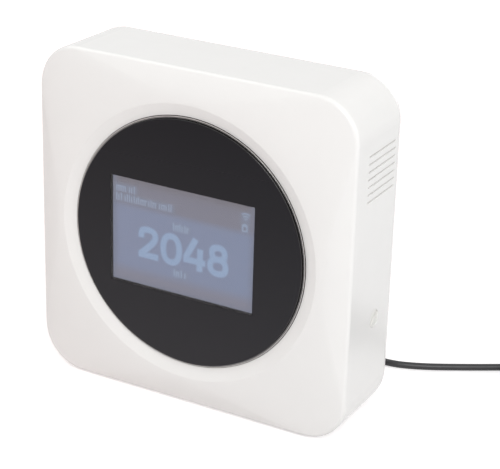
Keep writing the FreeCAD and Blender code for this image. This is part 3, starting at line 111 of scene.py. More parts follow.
class Tree:
    """The node tree of a material or a world, with short calls to add and join nodes."""

    def __init__(self, owner):
        owner.use_nodes = True
        self.tree = owner.node_tree

    def add(self, kind, **settings):
        """A new node with its settings."""
        node = self.tree.nodes.new(kind)
        for key, value in settings.items():
            setattr(node, key, value)
        return node

    def join(self, source, target):
        """A link from one node's output to another's input."""
        self.tree.links.new(source, target)

    def feed(self, socket, value):
        """Sets a socket from a number, a colour or another node's output."""
        if isinstance(value, bpy.types.NodeSocket):
            self.join(value, socket)
        else:
            socket.default_value = value

    def maths(self, operation, *values):
        """The result of one operation on numbers or outputs."""
        node = self.add("ShaderNodeMath", operation=operation)
        for index, value in enumerate(values):
            self.feed(node.inputs[index], value)
        return node.outputs["Value"]

    def remap(self, value, low, high, to_low, to_high):
        """A value stretched from one range to another, and held at the ends."""
        node = self.add("ShaderNodeMapRange")
        ends = {"From Min": low, "From Max": high, "To Min": to_low, "To Max": to_high}
        for key, number in ends.items():
            node.inputs[key].default_value = number
        self.join(value, node.inputs["Value"])
        return node.outputs["Result"]

    def looked_at(self):
        """1 for rays that look, straight or by gloss and glass, and 0 for those that light."""
        path = self.add("ShaderNodeLightPath")
        straight, gloss, glass_ray = (
            path.outputs[f"Is {kind} Ray"] for kind in ("Camera", "Glossy", "Transmission")
        )
        return self.maths("MAXIMUM", self.maths("MAXIMUM", straight, gloss), glass_ray)


class Paint(Tree):
    """A new material's node tree, coloured by place on the object."""

    def __init__(self, name):
        self.material = bpy.data.materials.new(name)
        super().__init__(self.material)
        self.shader = self.tree.nodes["Principled BSDF"]
        self.place = self.add("ShaderNodeTexCoord").outputs["Object"]

    def axis(self, letter):
        """The X, Y or Z of the place being coloured."""
        node = self.add("ShaderNodeSeparateXYZ")
        self.join(self.place, node.inputs["Vector"])
        return node.outputs[letter]

    def noise(self, size, detail=3.0, rough=0.5, stretch=None):
        """Noise whose features are about size metres wide."""
        node = self.add("ShaderNodeTexNoise")
        node.inputs["Scale"].default_value = 1 / size
        node.inputs["Detail"].default_value = detail
        node.inputs["Roughness"].default_value = rough
        source = self.place
        if stretch:
            mapping = self.add("ShaderNodeMapping")
            mapping.inputs["Scale"].default_value = stretch
            self.join(self.place, mapping.inputs["Vector"])
            source = mapping.outputs["Vector"]
        self.join(source, node.inputs["Vector"])
        return node.outputs["Fac"]

    def spread(self, noise, to_low, to_high):
        """Noise stretched from the range it mostly keeps to another."""
        return self.remap(noise, NOISE_LOW, NOISE_HIGH, to_low, to_high)

    def cells(self, size):
        """Distance to scattered points about size metres apart, in shares of size."""
        node = self.add("ShaderNodeTexVoronoi", feature="F1")
        node.inputs["Scale"].default_value = 1 / size
        self.join(self.place, node.inputs["Vector"])
        return node.outputs["Distance"]

    def mix(self, share, first, second):
        """The first colour at share 0, the second at share 1."""
        node = self.add("ShaderNodeMix", data_type="RGBA")
        self.feed(node.inputs["Factor"], share)
        self.feed(node.inputs[6], first)
        self.feed(node.inputs[7], second)
        return node.outputs[2]

    def bump(self, height, depth):
        """Fine relief, depth metres deep."""
        node = self.add("ShaderNodeBump")
        node.inputs["Distance"].default_value = depth
        self.join(height, node.inputs["Height"])
        return node.outputs["Normal"]

    def set(self, **values):
        """Sets sockets of the main shader, named with underscores for spaces."""
        for key, value in values.items():
            self.feed(self.shader.inputs[key.replace("_", " ")], value)
        return self.material


def moulded(name, colour, rough, tone=0.04, grain=0.0006, depth=0.00001, patchy=0.04):
    """Moulded plastic or rubber: cloudy colour, fine skin texture, uneven gloss."""
    p = Paint(name)
    base = to_linear(*colour)
    cloud = p.spread(p.noise(0.018, detail=4.0), 0.0, 1.0)
    gloss = p.spread(p.noise(0.006), rough - patchy, rough + patchy)
    return p.set(
        Base_Color=p.mix(cloud, scaled(base, 1 - tone), scaled(base, 1 + tone)),
        Roughness=gloss,
        Normal=p.bump(p.noise(grain, detail=2.0), depth),
    )


def brushed(name, colour, rough, stretch=(1, 1, 14), tone=0.12):
    """Rolled or turned metal with fine lines and stains."""
    p = Paint(name)
    base = to_linear(*colour)
    lines = p.noise(0.0005, detail=2.0, stretch=stretch)
    stain = p.remap(p.noise(0.004, detail=4.0), 0.35, 0.65, 0.0, 1.0)
    return p.set(
        Base_Color=p.mix(stain, scaled(base, 1 - tone), base),
        Roughness=p.spread(lines, rough - 0.08, rough + 0.1),
        Metallic=1.0,
        Normal=p.bump(lines, 0.000004),
    )


TRACE_GRID = {
    "Scale": 260.0,
    "Mortar Size": 0.06,
    "Mortar Smooth": 0.2,
    "Brick Width": 1.7,
    "Row Height": 0.42,
}
TINNED = to_linear(196, 190, 170)
MASK_DARK = 0.85


def board(name, mask, trace, axes):
    """A circuit board in the plane of two axes: solder mask over copper traces, with vias."""
    p = Paint(name)
    grid = p.add("ShaderNodeTexBrick", offset=0.5, squash=0.6, squash_frequency=3)
    plane = p.add("ShaderNodeCombineXYZ")
    for index, letter in enumerate(axes):
        p.join(p.axis(letter), plane.inputs[index])
    p.join(plane.outputs["Vector"], grid.inputs["Vector"])
    for key, number in TRACE_GRID.items():
        grid.inputs[key].default_value = number
    traces = grid.outputs["Fac"]
    vias = p.remap(p.cells(0.0035), 0.06, 0.1, 1.0, 0.0)
    dark = to_linear(*[c * MASK_DARK for c in mask])
    body = p.mix(p.noise(0.02), dark, to_linear(*mask))
    return p.set(
        Base_Color=p.mix(vias, p.mix(traces, body, to_linear(*trace)), TINNED),
        Roughness=p.remap(vias, 0.0, 1.0, 0.36, 0.24),
        Normal=p.bump(traces, 0.00002),
    )


# ---------------------------------------------------------------- shape helpers


def add_mesh(name, points, faces):
    """A new mesh object from points in metres and faces."""
    data = bpy.data.meshes.new(name)
    data.from_pydata([tuple(p) for p in points], [], faces)
    data.validate()
    return add_object(name, data)


def turn_outward(data):
    """Turns the faces of a closed mesh outward."""
    mesh = bmesh.new()
    mesh.from_mesh(data)
    bmesh.ops.recalc_face_normals(mesh, faces=mesh.faces)
    mesh.to_mesh(data)
    mesh.free()


def finish_piece(piece, material, stands_for=()):
    """Gives a piece its look, rides it on the case and hides the imported nodes it stands for.
    """
    piece.data.materials.append(material)
    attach(piece, "case")
    if stands_for:
        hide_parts(*stands_for)
    return piece


# ---------------------------------------------------------------- the supply lead, in mm

CORD_DIAMETER = 3.3
LYING = CORD_DIAMETER / 2  # height of the lead's middle where it lies on the floor
LEAD_START = (0.0, 36.15, 16.23)
LEAD_ROUTE = [
    (0.0, 50.0, 16.23),
    (9.5, 63.5, 11.5),
    (26.5, 68.0, 4.3),
    (45.0, 63.5, LYING),
    (62.5, 61.0, LYING),
    (77.5, 66.6, LYING),
    (94.0, 76.4, LYING),
    (109.6, 86.4, LYING),
    (120.3, 93.6, LYING),
]
TAIL_ROUTE = [(166.9, 71.4, 4.9), (168.6, 60.5, 4.0), (167.0, 49.5, 4.0)]

COIL_CENTRE = (143.0, 81.0)
COIL_RINGS = [13.25 + CORD_DIAMETER * ring for ring in range(4)]
COIL_LAYERS = [LYING + CORD_DIAMETER * layer for layer in range(3)]
# The ring and the layer that each turn takes, in the order of winding.
COIL_TURNS = [(3, 0), (2, 0), (1, 0), (0, 0), (0, 1), (0, 2)]
COIL_TURNS += [(1, 2), (1, 1), (2, 1), (2, 2), (3, 2), (3, 1)]
COIL_START, COIL_WHOLE = 124.0, 4080.0  # degrees: where it begins, and how far it goes round
COIL_SPAN, COIL_SLANT = 345.0, 30.0  # degrees in one ring, and of these on the way out of it
COIL_STEPS = 24  # points to a whole turn


def coil_points():
    """The turns, wound ring by ring, with a short slant between one ring and the next."""
    # The curve runs inside its points, so they lie further out by the share it reaches.
    reach = (6 + 2 * math.cos(2 * math.pi / COIL_STEPS)) / 8
    spots = [(COIL_RINGS[ring], COIL_LAYERS[layer]) for ring, layer in COIL_TURNS]
    steps = round(COIL_WHOLE / 360 * COIL_STEPS)
    points = []
    for step in range(1, steps):
        turned_by = COIL_WHOLE * step / steps
        index = min(int(turned_by // COIL_SPAN), len(spots) - 1)
        radius, height = spots[index]
        late = turned_by - (index + 1) * COIL_SPAN + COIL_SLANT
        if index < len(spots) - 1 and late > 0:
            share = late / COIL_SLANT
            share = share * share * (3 - 2 * share)
            next_radius, next_height = spots[index + 1]
            radius += (next_radius - radius) * share
            height += (next_height - height) * share
        angle = math.radians(COIL_START - turned_by)
        x = COIL_CENTRE[0] + radius / reach * math.cos(angle)
        y = COIL_CENTRE[1] + radius / reach * math.sin(angle)
        points.append((x, y, height))
    return points


def make_cord():
    """The lead as one curve: out of the back, round the coil, and into the plug."""
    route = [LEAD_START, *LEAD_ROUTE, *coil_points(), *TAIL_ROUTE]
    data = bpy.data.curves.new("supply_cord", "CURVE")
    data.dimensions = "3D"
    data.bevel_depth = CORD_DIAMETER / 2 * MM
    data.bevel_resolution = 6
    data.use_fill_caps = True
    spline = data.splines.new("NURBS")
    spline.points.add(len(route) - 1)
    for point, place in zip(spline.points, route):
        point.co = (*[v * MM for v in place], 1.0)
    spline.order_u = 3
    spline.use_endpoint_u = True
    spline.resolution_u = 8
    return add_object("supply_cord", data)


cord = make_cord()
finish_piece(
    cord,
    moulded("cord_jacket", (37, 37, 39), rough=0.42, tone=0.08, grain=0.0009),
    stands_for=("cable_lead", "cable_coil", "cable_tail"),
)


def bend(x, z, radius, first, last):
    """(place, outward) pairs round one corner, clockwise seen from the front."""
    steps = 6
    path = []
    for step in range(steps + 1):
        angle = math.radians(first + (last - first) * step / steps)
        out = (math.cos(angle), math.sin(angle))
        path.append(((x + radius * out[0], z + radius * out[1]), out))
    return path


def sweep_band(path, thick, half, middle, points, faces):
    """Adds a flat band that follows (place, outward) pairs in the XZ plane, all in mm.

    It lies from half before the middle's y to half behind it, thick to the outward side.
    """
    soft = 0.16
    section = [(-half, 0), (-half, thick - soft), (soft - half, thick)]
    section += [(half - soft, thick), (half, thick - soft), (half, 0)]
    base, rim = len(points), len(section)
    for (x, z), (out_x, out_z) in path:
        for aside, lift in section:
            spot = (x + out_x * lift, middle + aside, z + out_z * lift)
            points.append(tuple(v * MM for v in spot))
    for row in range(len(path) - 1):
        here, there = base + row * rim, base + (row + 1) * rim
        for k in range(rim):
            after = (k + 1) % rim
            faces.append((here + k, here + after, there + after, there + k))
    last = base + (len(path) - 1) * rim
    faces.append(tuple(base + k for k in reversed(range(rim))))
    faces.append(tuple(last + k for k in range(rim)))


STRAP_INSET = 0.95  # from the box of the solid to the strap's inner side
STRAP_TURN = 1.9  # inner radius of its corners
STRAP_THICK, STRAP_HALF = 0.7, 2.7
STRAP_OFF_FLOOR = 0.1
STRAP_UNDER = 48  # degrees that each end turns on under the bundle
LAP_THICK, LAP_HALF = 0.5, 2.55
LAP_SINK = 0.02  # how far the lap is pressed into the strap below
LAP_DOWN, LAP_ALONG = 5.5, 8.5  # from the strap's corner to the two ends of the lap


def make_strap():
    """A hook-and-loop strap round the coil's bundle, its free end lapped over the top."""
    low, high = (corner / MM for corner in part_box("coil_tie"))
    left, right, top = low.x + STRAP_INSET, high.x - STRAP_INSET, high.z - STRAP_INSET
    middle = (low.y + high.y) / 2
    near, far, up = left + STRAP_TURN, right - STRAP_TURN, top - STRAP_TURN
    foot = STRAP_TURN + STRAP_OFF_FLOOR
    points, faces = [], []
    path = bend(near, foot, STRAP_TURN, 180 + STRAP_UNDER, 180)
    path += bend(near, up, STRAP_TURN, 180, 90)
    path += bend(far, up, STRAP_TURN, 90, 0)
    path += bend(far, foot, STRAP_TURN, 0, -STRAP_UNDER)
    sweep_band(path, STRAP_THICK, STRAP_HALF, middle, points, faces)
    lift = STRAP_THICK - LAP_SINK
    path = [((left - lift, top - LAP_DOWN), (-1, 0))]
    path += bend(near, up, STRAP_TURN + lift, 180, 90)
    path += [((left + LAP_ALONG, top + lift), (0, 1))]
    sweep_band(path, LAP_THICK, LAP_HALF, middle, points, faces)
    strap = add_mesh("coil_strap", points, faces)
    turn_outward(strap.data)
    look = moulded(
        "strap_weave", (30, 30, 31), rough=0.88, tone=0.35, grain=0.0005, depth=0.00012
    )
    return finish_piece(strap, look, stands_for=("coil_tie",))


make_strap()

# ---------------------------------------------------------------- the round glass

LENS_LOW, LENS_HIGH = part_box("display_lens")
CENTRE_Z = (LENS_LOW.z + LENS_HIGH.z) / 2
LENS_RADIUS = (LENS_HIGH.x - LENS_LOW.x) / 2
LENS_FRONT, LENS_BACK = LENS_LOW.y, LENS_HIGH.y - 0.02 * MM
LENS_STEPS = 192
LENS_BEVEL, LENS_BACK_EDGE = 0.16 * MM, 0.1 * MM
WINDOW = (-39.45 * MM, 33.85 * MM, -25.35 * MM, 24.95 * MM)  # left, right, low, high
WINDOW_FLARE = 0.4 * MM  # how much further out the clear area ends on the front
PRINTED, CLEAR, EDGE, BEHIND = range(4)  # the glass's materials


def turned(profile, count, closed):
    """Points and faces turned about the display's axis from (radius, y) points."""
    points, faces = [], []
    for radius, y in profile:
        for step in range(count):
            angle = 2 * math.pi * step / count
            points.append((radius * math.cos(angle), y, CENTRE_Z + radius * math.sin(angle)))
    rows = len(profile)
    for row in range(rows if closed else rows - 1):
        here, there = row * count, (row + 1) % rows * count
        for step in range(count):
            after = (step + 1) % count
            faces.append((here + step, here + after, there + after, there + step))
    return points, faces


def lens_profile():
    """(radius, y) points over the rim of the glass, from its front to its back."""
    steps = 4
    profile = []
    for step in range(steps + 1):
        angle = math.radians(90 * step / steps)
        radius = LENS_RADIUS - LENS_BEVEL + LENS_BEVEL * math.sin(angle)
        profile.append((radius, LENS_FRONT + LENS_BEVEL - LENS_BEVEL * math.cos(angle)))
    profile.append((LENS_RADIUS, LENS_BACK - LENS_BACK_EDGE))
    profile.append((LENS_RADIUS - LENS_BACK_EDGE, LENS_BACK))
    return profile


def make_lens():
    """A disc with a polished bevel; its window is clear and the rest is backed by print."""
    points, faces = turned(lens_profile(), LENS_STEPS, closed=False)
    shades = [EDGE] * len(faces)
    left, right, low, high = WINDOW
    quarter = LENS_STEPS // 4
    sides = (
        (0, LENS_FRONT, WINDOW_FLARE, PRINTED),
        (len(points) - LENS_STEPS, LENS_BACK, 0.0, BEHIND),
    )
    for ring, y, flare, border in sides:
        base = len(points)
        for x, z in ((right, high), (left, high), (left, low), (right, low)):
            x += math.copysign(flare, x)
            z += math.copysign(flare, z)
            points.append((x, y, CENTRE_Z + z))
        faces.append(tuple(range(base, base + 4)))
        shades.append(CLEAR)
        for index in range(4):
            corner, following = base + index, base + (index + 1) % 4
            begin = index * quarter
            rim = [ring + step % LENS_STEPS for step in range(begin, begin + quarter + 1)]
            fan = [(corner, *pair) for pair in zip(rim, rim[1:])]
            fan.append((corner, rim[-1], following))
            faces += fan
            shades += [border] * len(fan)
    piece = add_mesh("front_glass", points, faces)
    piece.data.polygons.foreach_set("material_index", shades)
    turn_outward(piece.data)
    for face in piece.data.polygons:
        face.use_smooth = face.material_index == EDGE
    return piece


def smears(p, smooth, dull):
    """Roughness of a glass that was wiped by hand."""
    return p.remap(p.noise(0.03, detail=4.0, rough=0.6), 0.35, 0.7, smooth, dull)


def printed_glass():
    """Glass over black print, with smears, a few specks of dust, and a painted reflection: the
    print is lighter towards the bottom.
    """
    p = Paint("glass_over_print")
    dust = p.remap(p.cells(0.004), 0.0, 0.03, 1.0, 0.0)
    # Painted reflection: the black print under the glass is lighter towards the bottom.
    painted_reflection = p.remap(p.axis("Z"), CENTRE_Z - LENS_RADIUS, CENTRE_Z + LENS_RADIUS, 1.0, 0.0)
    tone = p.mix(painted_reflection, (0.0012, 0.0011, 0.0042, 1), (0.023, 0.0222, 0.0262, 1))
    return p.set(
        Base_Color=p.mix(dust, tone, to_linear(44, 44, 46)),
        Roughness=smears(p, 0.03, 0.09),
        IOR=1.5,
        Specular_IOR_Level=0.19,
    )


def clear_glass():
    """Clear glass with faint smears."""
    p = Paint("clear_window")
    return p.set(
        Base_Color=(0.97, 0.98, 1, 1),
        Roughness=smears(p, 0.0, 0.02),
        Transmission_Weight=1.0,
        IOR=1.34,
    )


def ground_edge():
    """The ground rim of the glass, a little browner on the right."""
    p = Paint("ground_edge")
    reach = 58 * MM
    side = p.remap(p.axis("X"), -reach, reach, 0.0, 1.0)
    return p.set(
        Base_Color=p.mix(side, to_linear(22, 22, 24), to_linear(34, 32, 32)),
        Roughness=p.spread(p.noise(0.0012, stretch=(1, 8, 1)), 0.2, 0.4),
    )


glass = make_lens()
finish_piece(glass, printed_glass(), stands_for=("display_lens",))
for extra in (
    clear_glass(),
    ground_edge(),
    moulded("print_behind", (44, 44, 47), rough=0.5, tone=0.1),
):
    glass.data.materials.append(extra)

# ---------------------------------------------------------------- the lit display
#
# Places on it are in mm from the middle of the glass.

PANEL_LOW, PANEL_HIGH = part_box("lcd_glass")
PANEL_CORNER = 0.6 * MM

BODY_LEFT = to_linear(121, 129, 153)
BODY_RIGHT = to_linear(119, 129, 154)
HEADER = to_linear(117, 116, 128)
HEADER_EDGE = to_linear(108, 104, 110)
FOOTER = to_linear(120, 120, 134)
SIDE = to_linear(108, 112, 128)
WORD_GLOW = to_linear(120, 129, 148)

BODY_ENDS = (-39.0, 34.0)

# Bands across the field: the heights where each begins and is full, how full, and its tone.
FIELD_BANDS = [
    (10.0, 13.4, 1.0, HEADER),
    (20.0, 25.0, 1.0, HEADER_EDGE),
    (-16.8, -21.6, 1.0, FOOTER),
    (-23.2, -25.2, 0.7, SIDE),
]
SIDE_BAND = (32.8, 36.2, 0.7)  # the same at both sides, from the middle of the window

# Where words and signs glow on the field: left, right, low, high.
WORD_PATCHES = [
    (-38.4, -26.5, 17.2, 21.4),
    (-38.4, -7.0, 13.0, 17.0),
    (-8.4, 1.2, 4.6, 8.6),
    (-7.6, 0.8, -17.6, -13.6),
    (26.6, 31.2, 12.2, 21.4),
]
PATCH_SOFT, PATCH_SHARE = 0.9, 0.6


def soft_box(name, low, high, corner):
    """A block whose outline seen from the front has rounded corners."""
    steps = 4
    spots = []
    for sx, sz, first in ((1, -1, -90), (1, 1, 0), (-1, 1, 90), (-1, -1, 180)):
        cx = (high.x if sx > 0 else low.x) - sx * corner
        cz = (high.z if sz > 0 else low.z) - sz * corner
        for step in range(steps + 1):
            angle = math.radians(first + 90 * step / steps)
            spots.append((cx + corner * math.cos(angle), cz + corner * math.sin(angle)))
    points = [(x, y, z) for y in (low.y, high.y) for x, z in spots]
    count = len(spots)
    faces = [tuple(range(count)), tuple(range(2 * count - 1, count - 1, -1))]
    for step in range(count):
        after = (step + 1) % count
        faces.append((after, step, count + step, count + after))
    return add_mesh(name, points, faces)


def lit(p, colour, rough):
    """A surface that shines in its own colour and hardly reflects."""
    return p.set(
        Base_Color=(0.01, 0.01, 0.012, 1),
        Roughness=rough,
        Specular_IOR_Level=0.0,
        Emission_Color=colour,
        Emission_Strength=1.0,
    )


def glow_layer(name, colour):
    """Light marks of the display, a little uneven like its cells."""
    p = Paint(name)
    bright = to_linear(*colour)
    cells = p.spread(p.noise(0.0011, detail=2.0), 0.0, 1.0)
    return lit(p, p.mix(cells, scaled(bright, 0.97), bright), 0.5)


def between(p, value, low, high):
    """1 where a value lies between two places in mm, falling softly to 0 past them."""
    into = p.remap(value, (low - PATCH_SOFT) * MM, (low + PATCH_SOFT) * MM, 0.0, 1.0)
    out = p.remap(value, (high + PATCH_SOFT) * MM, (high - PATCH_SOFT) * MM, 0.0, 1.0)
    return p.maths("MULTIPLY", into, out)


def panel_material():
    """A blue-grey lit field, with a warmer band along its top, its foot and its sides."""
    p = Paint("lit_field")
    left, right = WINDOW[:2]
    x = p.axis("X")
    aside = p.maths("ABSOLUTE", p.maths("SUBTRACT", x, (left + right) / 2))
    upward = p.maths("SUBTRACT", p.axis("Z"), CENTRE_Z)
    rightward = p.remap(x, *[end * MM for end in BODY_ENDS], 0.0, 1.0)
    shade = p.mix(rightward, BODY_LEFT, BODY_RIGHT)
    for begin, full, share, tone in FIELD_BANDS:
        shade = p.mix(p.remap(upward, begin * MM, full * MM, 0.0, share), shade, tone)
    begin, full, share = SIDE_BAND
    shade = p.mix(p.remap(aside, begin * MM, full * MM, 0.0, share), shade, SIDE)
    glow = 0.0
    for patch in WORD_PATCHES:
        inside = p.maths("MULTIPLY", between(p, x, *patch[:2]), between(p, upward, *patch[2:]))
        glow = p.maths("MAXIMUM", inside, glow)
    shade = p.mix(p.maths("MULTIPLY", glow, PATCH_SHARE), shade, WORD_GLOW)
    shade = p.mix(p.spread(p.noise(0.014), 0.0, 0.12), shade, FOOTER)
    return lit(p, shade, 0.4)


def oval(x, z, wide, high):
    """Points of an oval a little squarer than an ellipse, from its half sizes."""
    power, count = 2.3, 28
    spots = []
    for step in range(count):
        angle = 2 * math.pi * step / count
        c, s = math.cos(angle), math.sin(angle)
        across = wide * math.copysign(abs(c) ** (2 / power), c)
        up = high * math.copysign(abs(s) ** (2 / power), s)
        spots.append((x + across, z + up))
    return spots


def arc(x, z, radius, first, last):
    """Points of an arc between two angles in degrees."""
    count = 9
    spots = []
    for step in range(count):
        angle = math.radians(first + (last - first) * step / (count - 1))
        spots.append((x + radius * math.cos(angle), z + radius * math.sin(angle)))
    return spots


TWO_HOOK = [(-24.4, -2.1), (-24.5, 0.0), (-23.5, 1.7), (-20.6, 2.1), (-17.4, 1.4)]
TWO_HOOK += [(-16.7, -1.6), (-18.6, -4.4), (-21.8, -7.5), (-24.8, -10.4)]

# Strokes of the reading: closed or not, and their points.
DIGITS = [
    (False, TWO_HOOK),
    (False, [(-25.7, -10.5), (-15.6, -10.5)]),
    (True, oval(-8.6, -4.6, 4.2, 6.3)),
    (False, [(4.1, 3.0), (-1.1, -6.8)]),
    (False, [(-2.0, -7.5), (9.0, -7.5)]),
    (False, [(6.5, -1.3), (6.2, -11.8)]),
    (True, oval(15.75, -1.1, 3.3, 2.85)),
    (True, oval(15.6, -7.35, 4.0, 3.45)),
]
DIGIT_HALF = 1.3

# Layers of the reading: name, colour, how much wider and how far ahead of the field.
READING_LAYERS = [
    ("reading_halo", (125, 137, 163), 0.5, 0.02),
    ("reading_edge", (131, 146, 173), 0.25, 0.035),
    ("reading", (138, 157, 185), 0.0, 0.05),
]

# Two icons in the corner: three waves, and a padlock below them.
WAVES = [(False, arc(29.1, 17.0, radius, 58, 122)) for radius in (1.3, 2.6, 3.9)]
PADLOCK = [
    (False, [(27.6, 12.6), (27.6, 15.1)]),
    (False, [(29.8, 12.6), (29.8, 15.1)]),
    (False, [(27.3, 12.6), (30.1, 12.6)]),
    (False, [(27.3, 15.0), (30.1, 15.0)]),
    (False, arc(28.7, 15.0, 0.9, 0, 180)),
]

MARK_AHEAD = 0.03  # how far ahead of the field the small marks lie
STROKE_DEPTH = 0.01
STROKE_STEP = 0.0004  # each stroke lies this much ahead of the one before

# Rows of marks: from one mark to the next, and the gap between two words.
TICK_PITCH, TICK_WIDE_PITCH, TICK_WORD_GAP = 1.15, 1.4, 0.8
TICK_LOW = 0.74  # height of a low mark, as a share of a tall one
TICK_BAR_DROP = 0.3  # from the top of a mark down to its bar


def smooth_line(spots, closed):
    """The points of a smooth curve drawn through a stroke's guide points."""
    guides = [Vector(spot) for spot in spots]
    if len(guides) < 4:
        return guides
    steps = 5
    count = len(guides)
    line = []
    for index in range(count if closed else count - 2):
        a, b, c = (guides[(index + k) % count] for k in range(3))
        first = a if index == 0 and not closed else (a + b) / 2
        last = c if index == count - 3 and not closed else (b + c) / 2
        for step in range(steps):
            t = step / steps
            line.append(first * (1 - t) ** 2 + b * 2 * t * (1 - t) + last * t**2)
    if not closed:
        line.append(guides[-1])
    return line


def stroke_layer(name, strokes, half, y, material, reach=0.0):
    """Flat square-ended strokes of one width, lying in front of the lit field."""
    points, faces = [], []
    for order, (closed, spots) in enumerate(strokes):
        line = smooth_line(spots, closed)
        if not closed and reach:
            line[0] = line[0] + (line[0] - line[1]).normalized() * reach
            line[-1] = line[-1] + (line[-1] - line[-2]).normalized() * reach
        count = len(line)
        base = len(points)
        front = y - STROKE_STEP * order
        back = front + STROKE_DEPTH
        for index, spot in enumerate(line):
            before = line[index - 1] if index or closed else spot
            after = line[(index + 1) % count] if index < count - 1 or closed else spot
            along = (after - before).normalized()
            aside = Vector((-along.y, along.x)) * half
            sides = (spot + aside, spot - aside, spot - aside, spot + aside)
            for place, plane in zip(sides, (front, front, back, back)):
                points.append((place.x * MM, plane * MM, CENTRE_Z + place.y * MM))
        for index in range(count if closed else count - 1):
            here, there = base + 4 * index, base + 4 * ((index + 1) % count)
            for k in range(4):
                after = (k + 1) % 4
                faces.append((here + k, there + k, there + after, here + after))
        if not closed:
            last = base + 4 * (count - 1)
            faces.append((base + 3, base + 2, base + 1, base))
            faces.append((last, last + 1, last + 2, last + 3))
    finish_piece(add_mesh(name, points, faces), material)


def ticks(x, z, tall, wide, seed):
    """A row of short upright marks of uneven height, in the place of a line of words.

    The seed goes through a small generator of its own, so the row is the same each run.
    """
    marks = []
    step = 0
    spot = x
    while spot < x + wide:
        seed = (seed * 1103515245 + 12345) % 2147483648
        pick = (seed >> 16) % 7
        top = tall * (1.0 if pick in (0, 3) else TICK_LOW)
        if pick == 5 and step > 1:
            spot += TICK_WORD_GAP
        marks.append((False, [(spot, z), (spot, z + top)]))
        if pick in (1, 4, 6):
            bar = z + top - TICK_BAR_DROP
            marks.append((False, [(spot, bar), (spot + TICK_PITCH, bar)]))
        spot += TICK_PITCH if pick != 2 else TICK_WIDE_PITCH
        step += 1
    return marks


def make_display():
    """The lit field, the reading on it, and rows of small marks and icons round that."""
    panel = soft_box("display_panel", PANEL_LOW, PANEL_HIGH, PANEL_CORNER)
    finish_piece(panel, panel_material(), stands_for=("lcd_glass",))
    front = PANEL_LOW.y / MM
    for name, colour, spread, ahead in READING_LAYERS:
        look = glow_layer(name, colour)
        stroke_layer(name, DIGITS, DIGIT_HALF + spread, front - ahead, look, spread)
    words = ticks(-37.6, 17.6, 3.6, 9.8, 7) + ticks(-37.6, 13.1, 3.7, 29.6, 11)
    captions = ticks(-7.6, 4.7, 3.9, 7.6, 25) + ticks(-6.9, -17.3, 3.6, 6.6, 15)
    for name, strokes, half, look, colour in (
        ("small_marks", words, 0.28, "mark_light", (139, 151, 172)),
        ("caption_marks", captions, 0.32, "caption_light", (139, 154, 177)),
        ("small_icons", WAVES + PADLOCK, 0.3, "icon_light", (138, 153, 176)),
    ):
        stroke_layer(name, strokes, half, front - MARK_AHEAD, glow_layer(look, colour))


make_display()

# ---------------------------------------------------------------- floor and light

FLOOR_HALF, FLOOR_TOP = 6.0, -0.0002
FLOOR_WARM, FLOOR_PLAIN = (0.78, 0.685, 0.67, 1), (0.7, 0.7, 0.71, 1)
WARM_UP_TO, PLAIN_FROM = -0.2, 0.15  # from left to right; in between the tones mix
# Where the floor is looked at it also glows: how far from the middle, and how much.
GLOW_NEAR, GLOW_FAR = (0.5, 0.54), (2.2, 0.9)
WORLD_LIGHTING, WORLD_SEEN = 0.3, 1.0  # strength where it lights, and where it is looked at

# Name, place, diameter and power of each lamp.
LAMPS = [
    ("key", (0.9, -1.3, 1.3), 1.0, 24.3),
    ("top", (-0.95, 0.0, 1.35), 1.2, 6.4),
    ("side", (1.6, 0.5, 0.7), 0.9, 5.4),
    ("behind", (0.0, 1.8, 0.25), 1.0, 3.6),
]
LAMP_AIM = Vector((0, 0, 0.08))


def floor_material():
    """A pale floor, a little warmer on the left, that shows white where nothing shades it."""
    p = Paint("pale_floor")
    rightward = p.remap(p.axis("X"), WARM_UP_TO, PLAIN_FROM, 0.0, 1.0)
    p.set(
        Base_Color=p.mix(rightward, FLOOR_WARM, FLOOR_PLAIN),
        Roughness=0.9,
        Specular_IOR_Level=0.0,
    )
    away = p.add("ShaderNodeVectorMath", operation="LENGTH")
    p.join(p.place, away.inputs[0])
    (near, near_lift), (far, far_lift) = GLOW_NEAR, GLOW_FAR
    lift = p.remap(away.outputs["Value"], near, far, near_lift, far_lift)
    glow = p.add("ShaderNodeEmission")
    p.join(p.maths("MULTIPLY", p.looked_at(), lift), glow.inputs["Strength"])
    both = p.add("ShaderNodeAddShader")
    p.join(p.shader.outputs[0], both.inputs[0])
    p.join(glow.outputs[0], both.inputs[1])
    p.join(both.outputs[0], p.tree.nodes["Material Output"].inputs["Surface"])
    return p.material


def make_floor():
    """A plain pale floor under the feet."""
    corners = [(x * FLOOR_HALF, y * FLOOR_HALF) for x, y in ((-1, -1), (1, -1), (1, 1), (-1, 1))]
    floor = add_mesh("floor", [(x, y, FLOOR_TOP) for x, y in corners], [(0, 1, 2, 3)])
    floor.data.materials.append(floor_material())


def make_world():
    """A white surround that lights less than it shows."""
    scene.world = bpy.data.worlds.new("studio")
    tree = Tree(scene.world)
    back = tree.tree.nodes["Background"]
    strength = tree.remap(tree.looked_at(), 0.0, 1.0, WORLD_LIGHTING, WORLD_SEEN)
    tree.feed(back.inputs["Strength"], strength)
    tree.feed(back.inputs["Color"], (1, 1, 1, 1))


def make_lamp(name, place, size, power):
    """A round soft lamp that aims at the case."""
    data = bpy.data.lights.new(name, "AREA")
    data.shape = "DISK"
    data.size = size
    data.energy = power
    lamp = add_object(name, data)
    lamp.location = place
    lamp.rotation_euler = (LAMP_AIM - Vector(place)).to_track_quat("-Z", "Y").to_euler()


make_floor()
make_world()
for lamp_row in LAMPS:
    make_lamp(*lamp_row)

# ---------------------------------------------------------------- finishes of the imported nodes


def wear(look, *names):
    """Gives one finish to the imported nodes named."""
    for name in names:
        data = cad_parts[name].data
        data.materials.clear()
        data.materials.append(look)


GREEN_MASK, GREEN_TRACE = (22, 84, 48), (38, 118, 66)
BLUE_MASK, BLUE_TRACE = (24, 56, 120), (40, 84, 158)

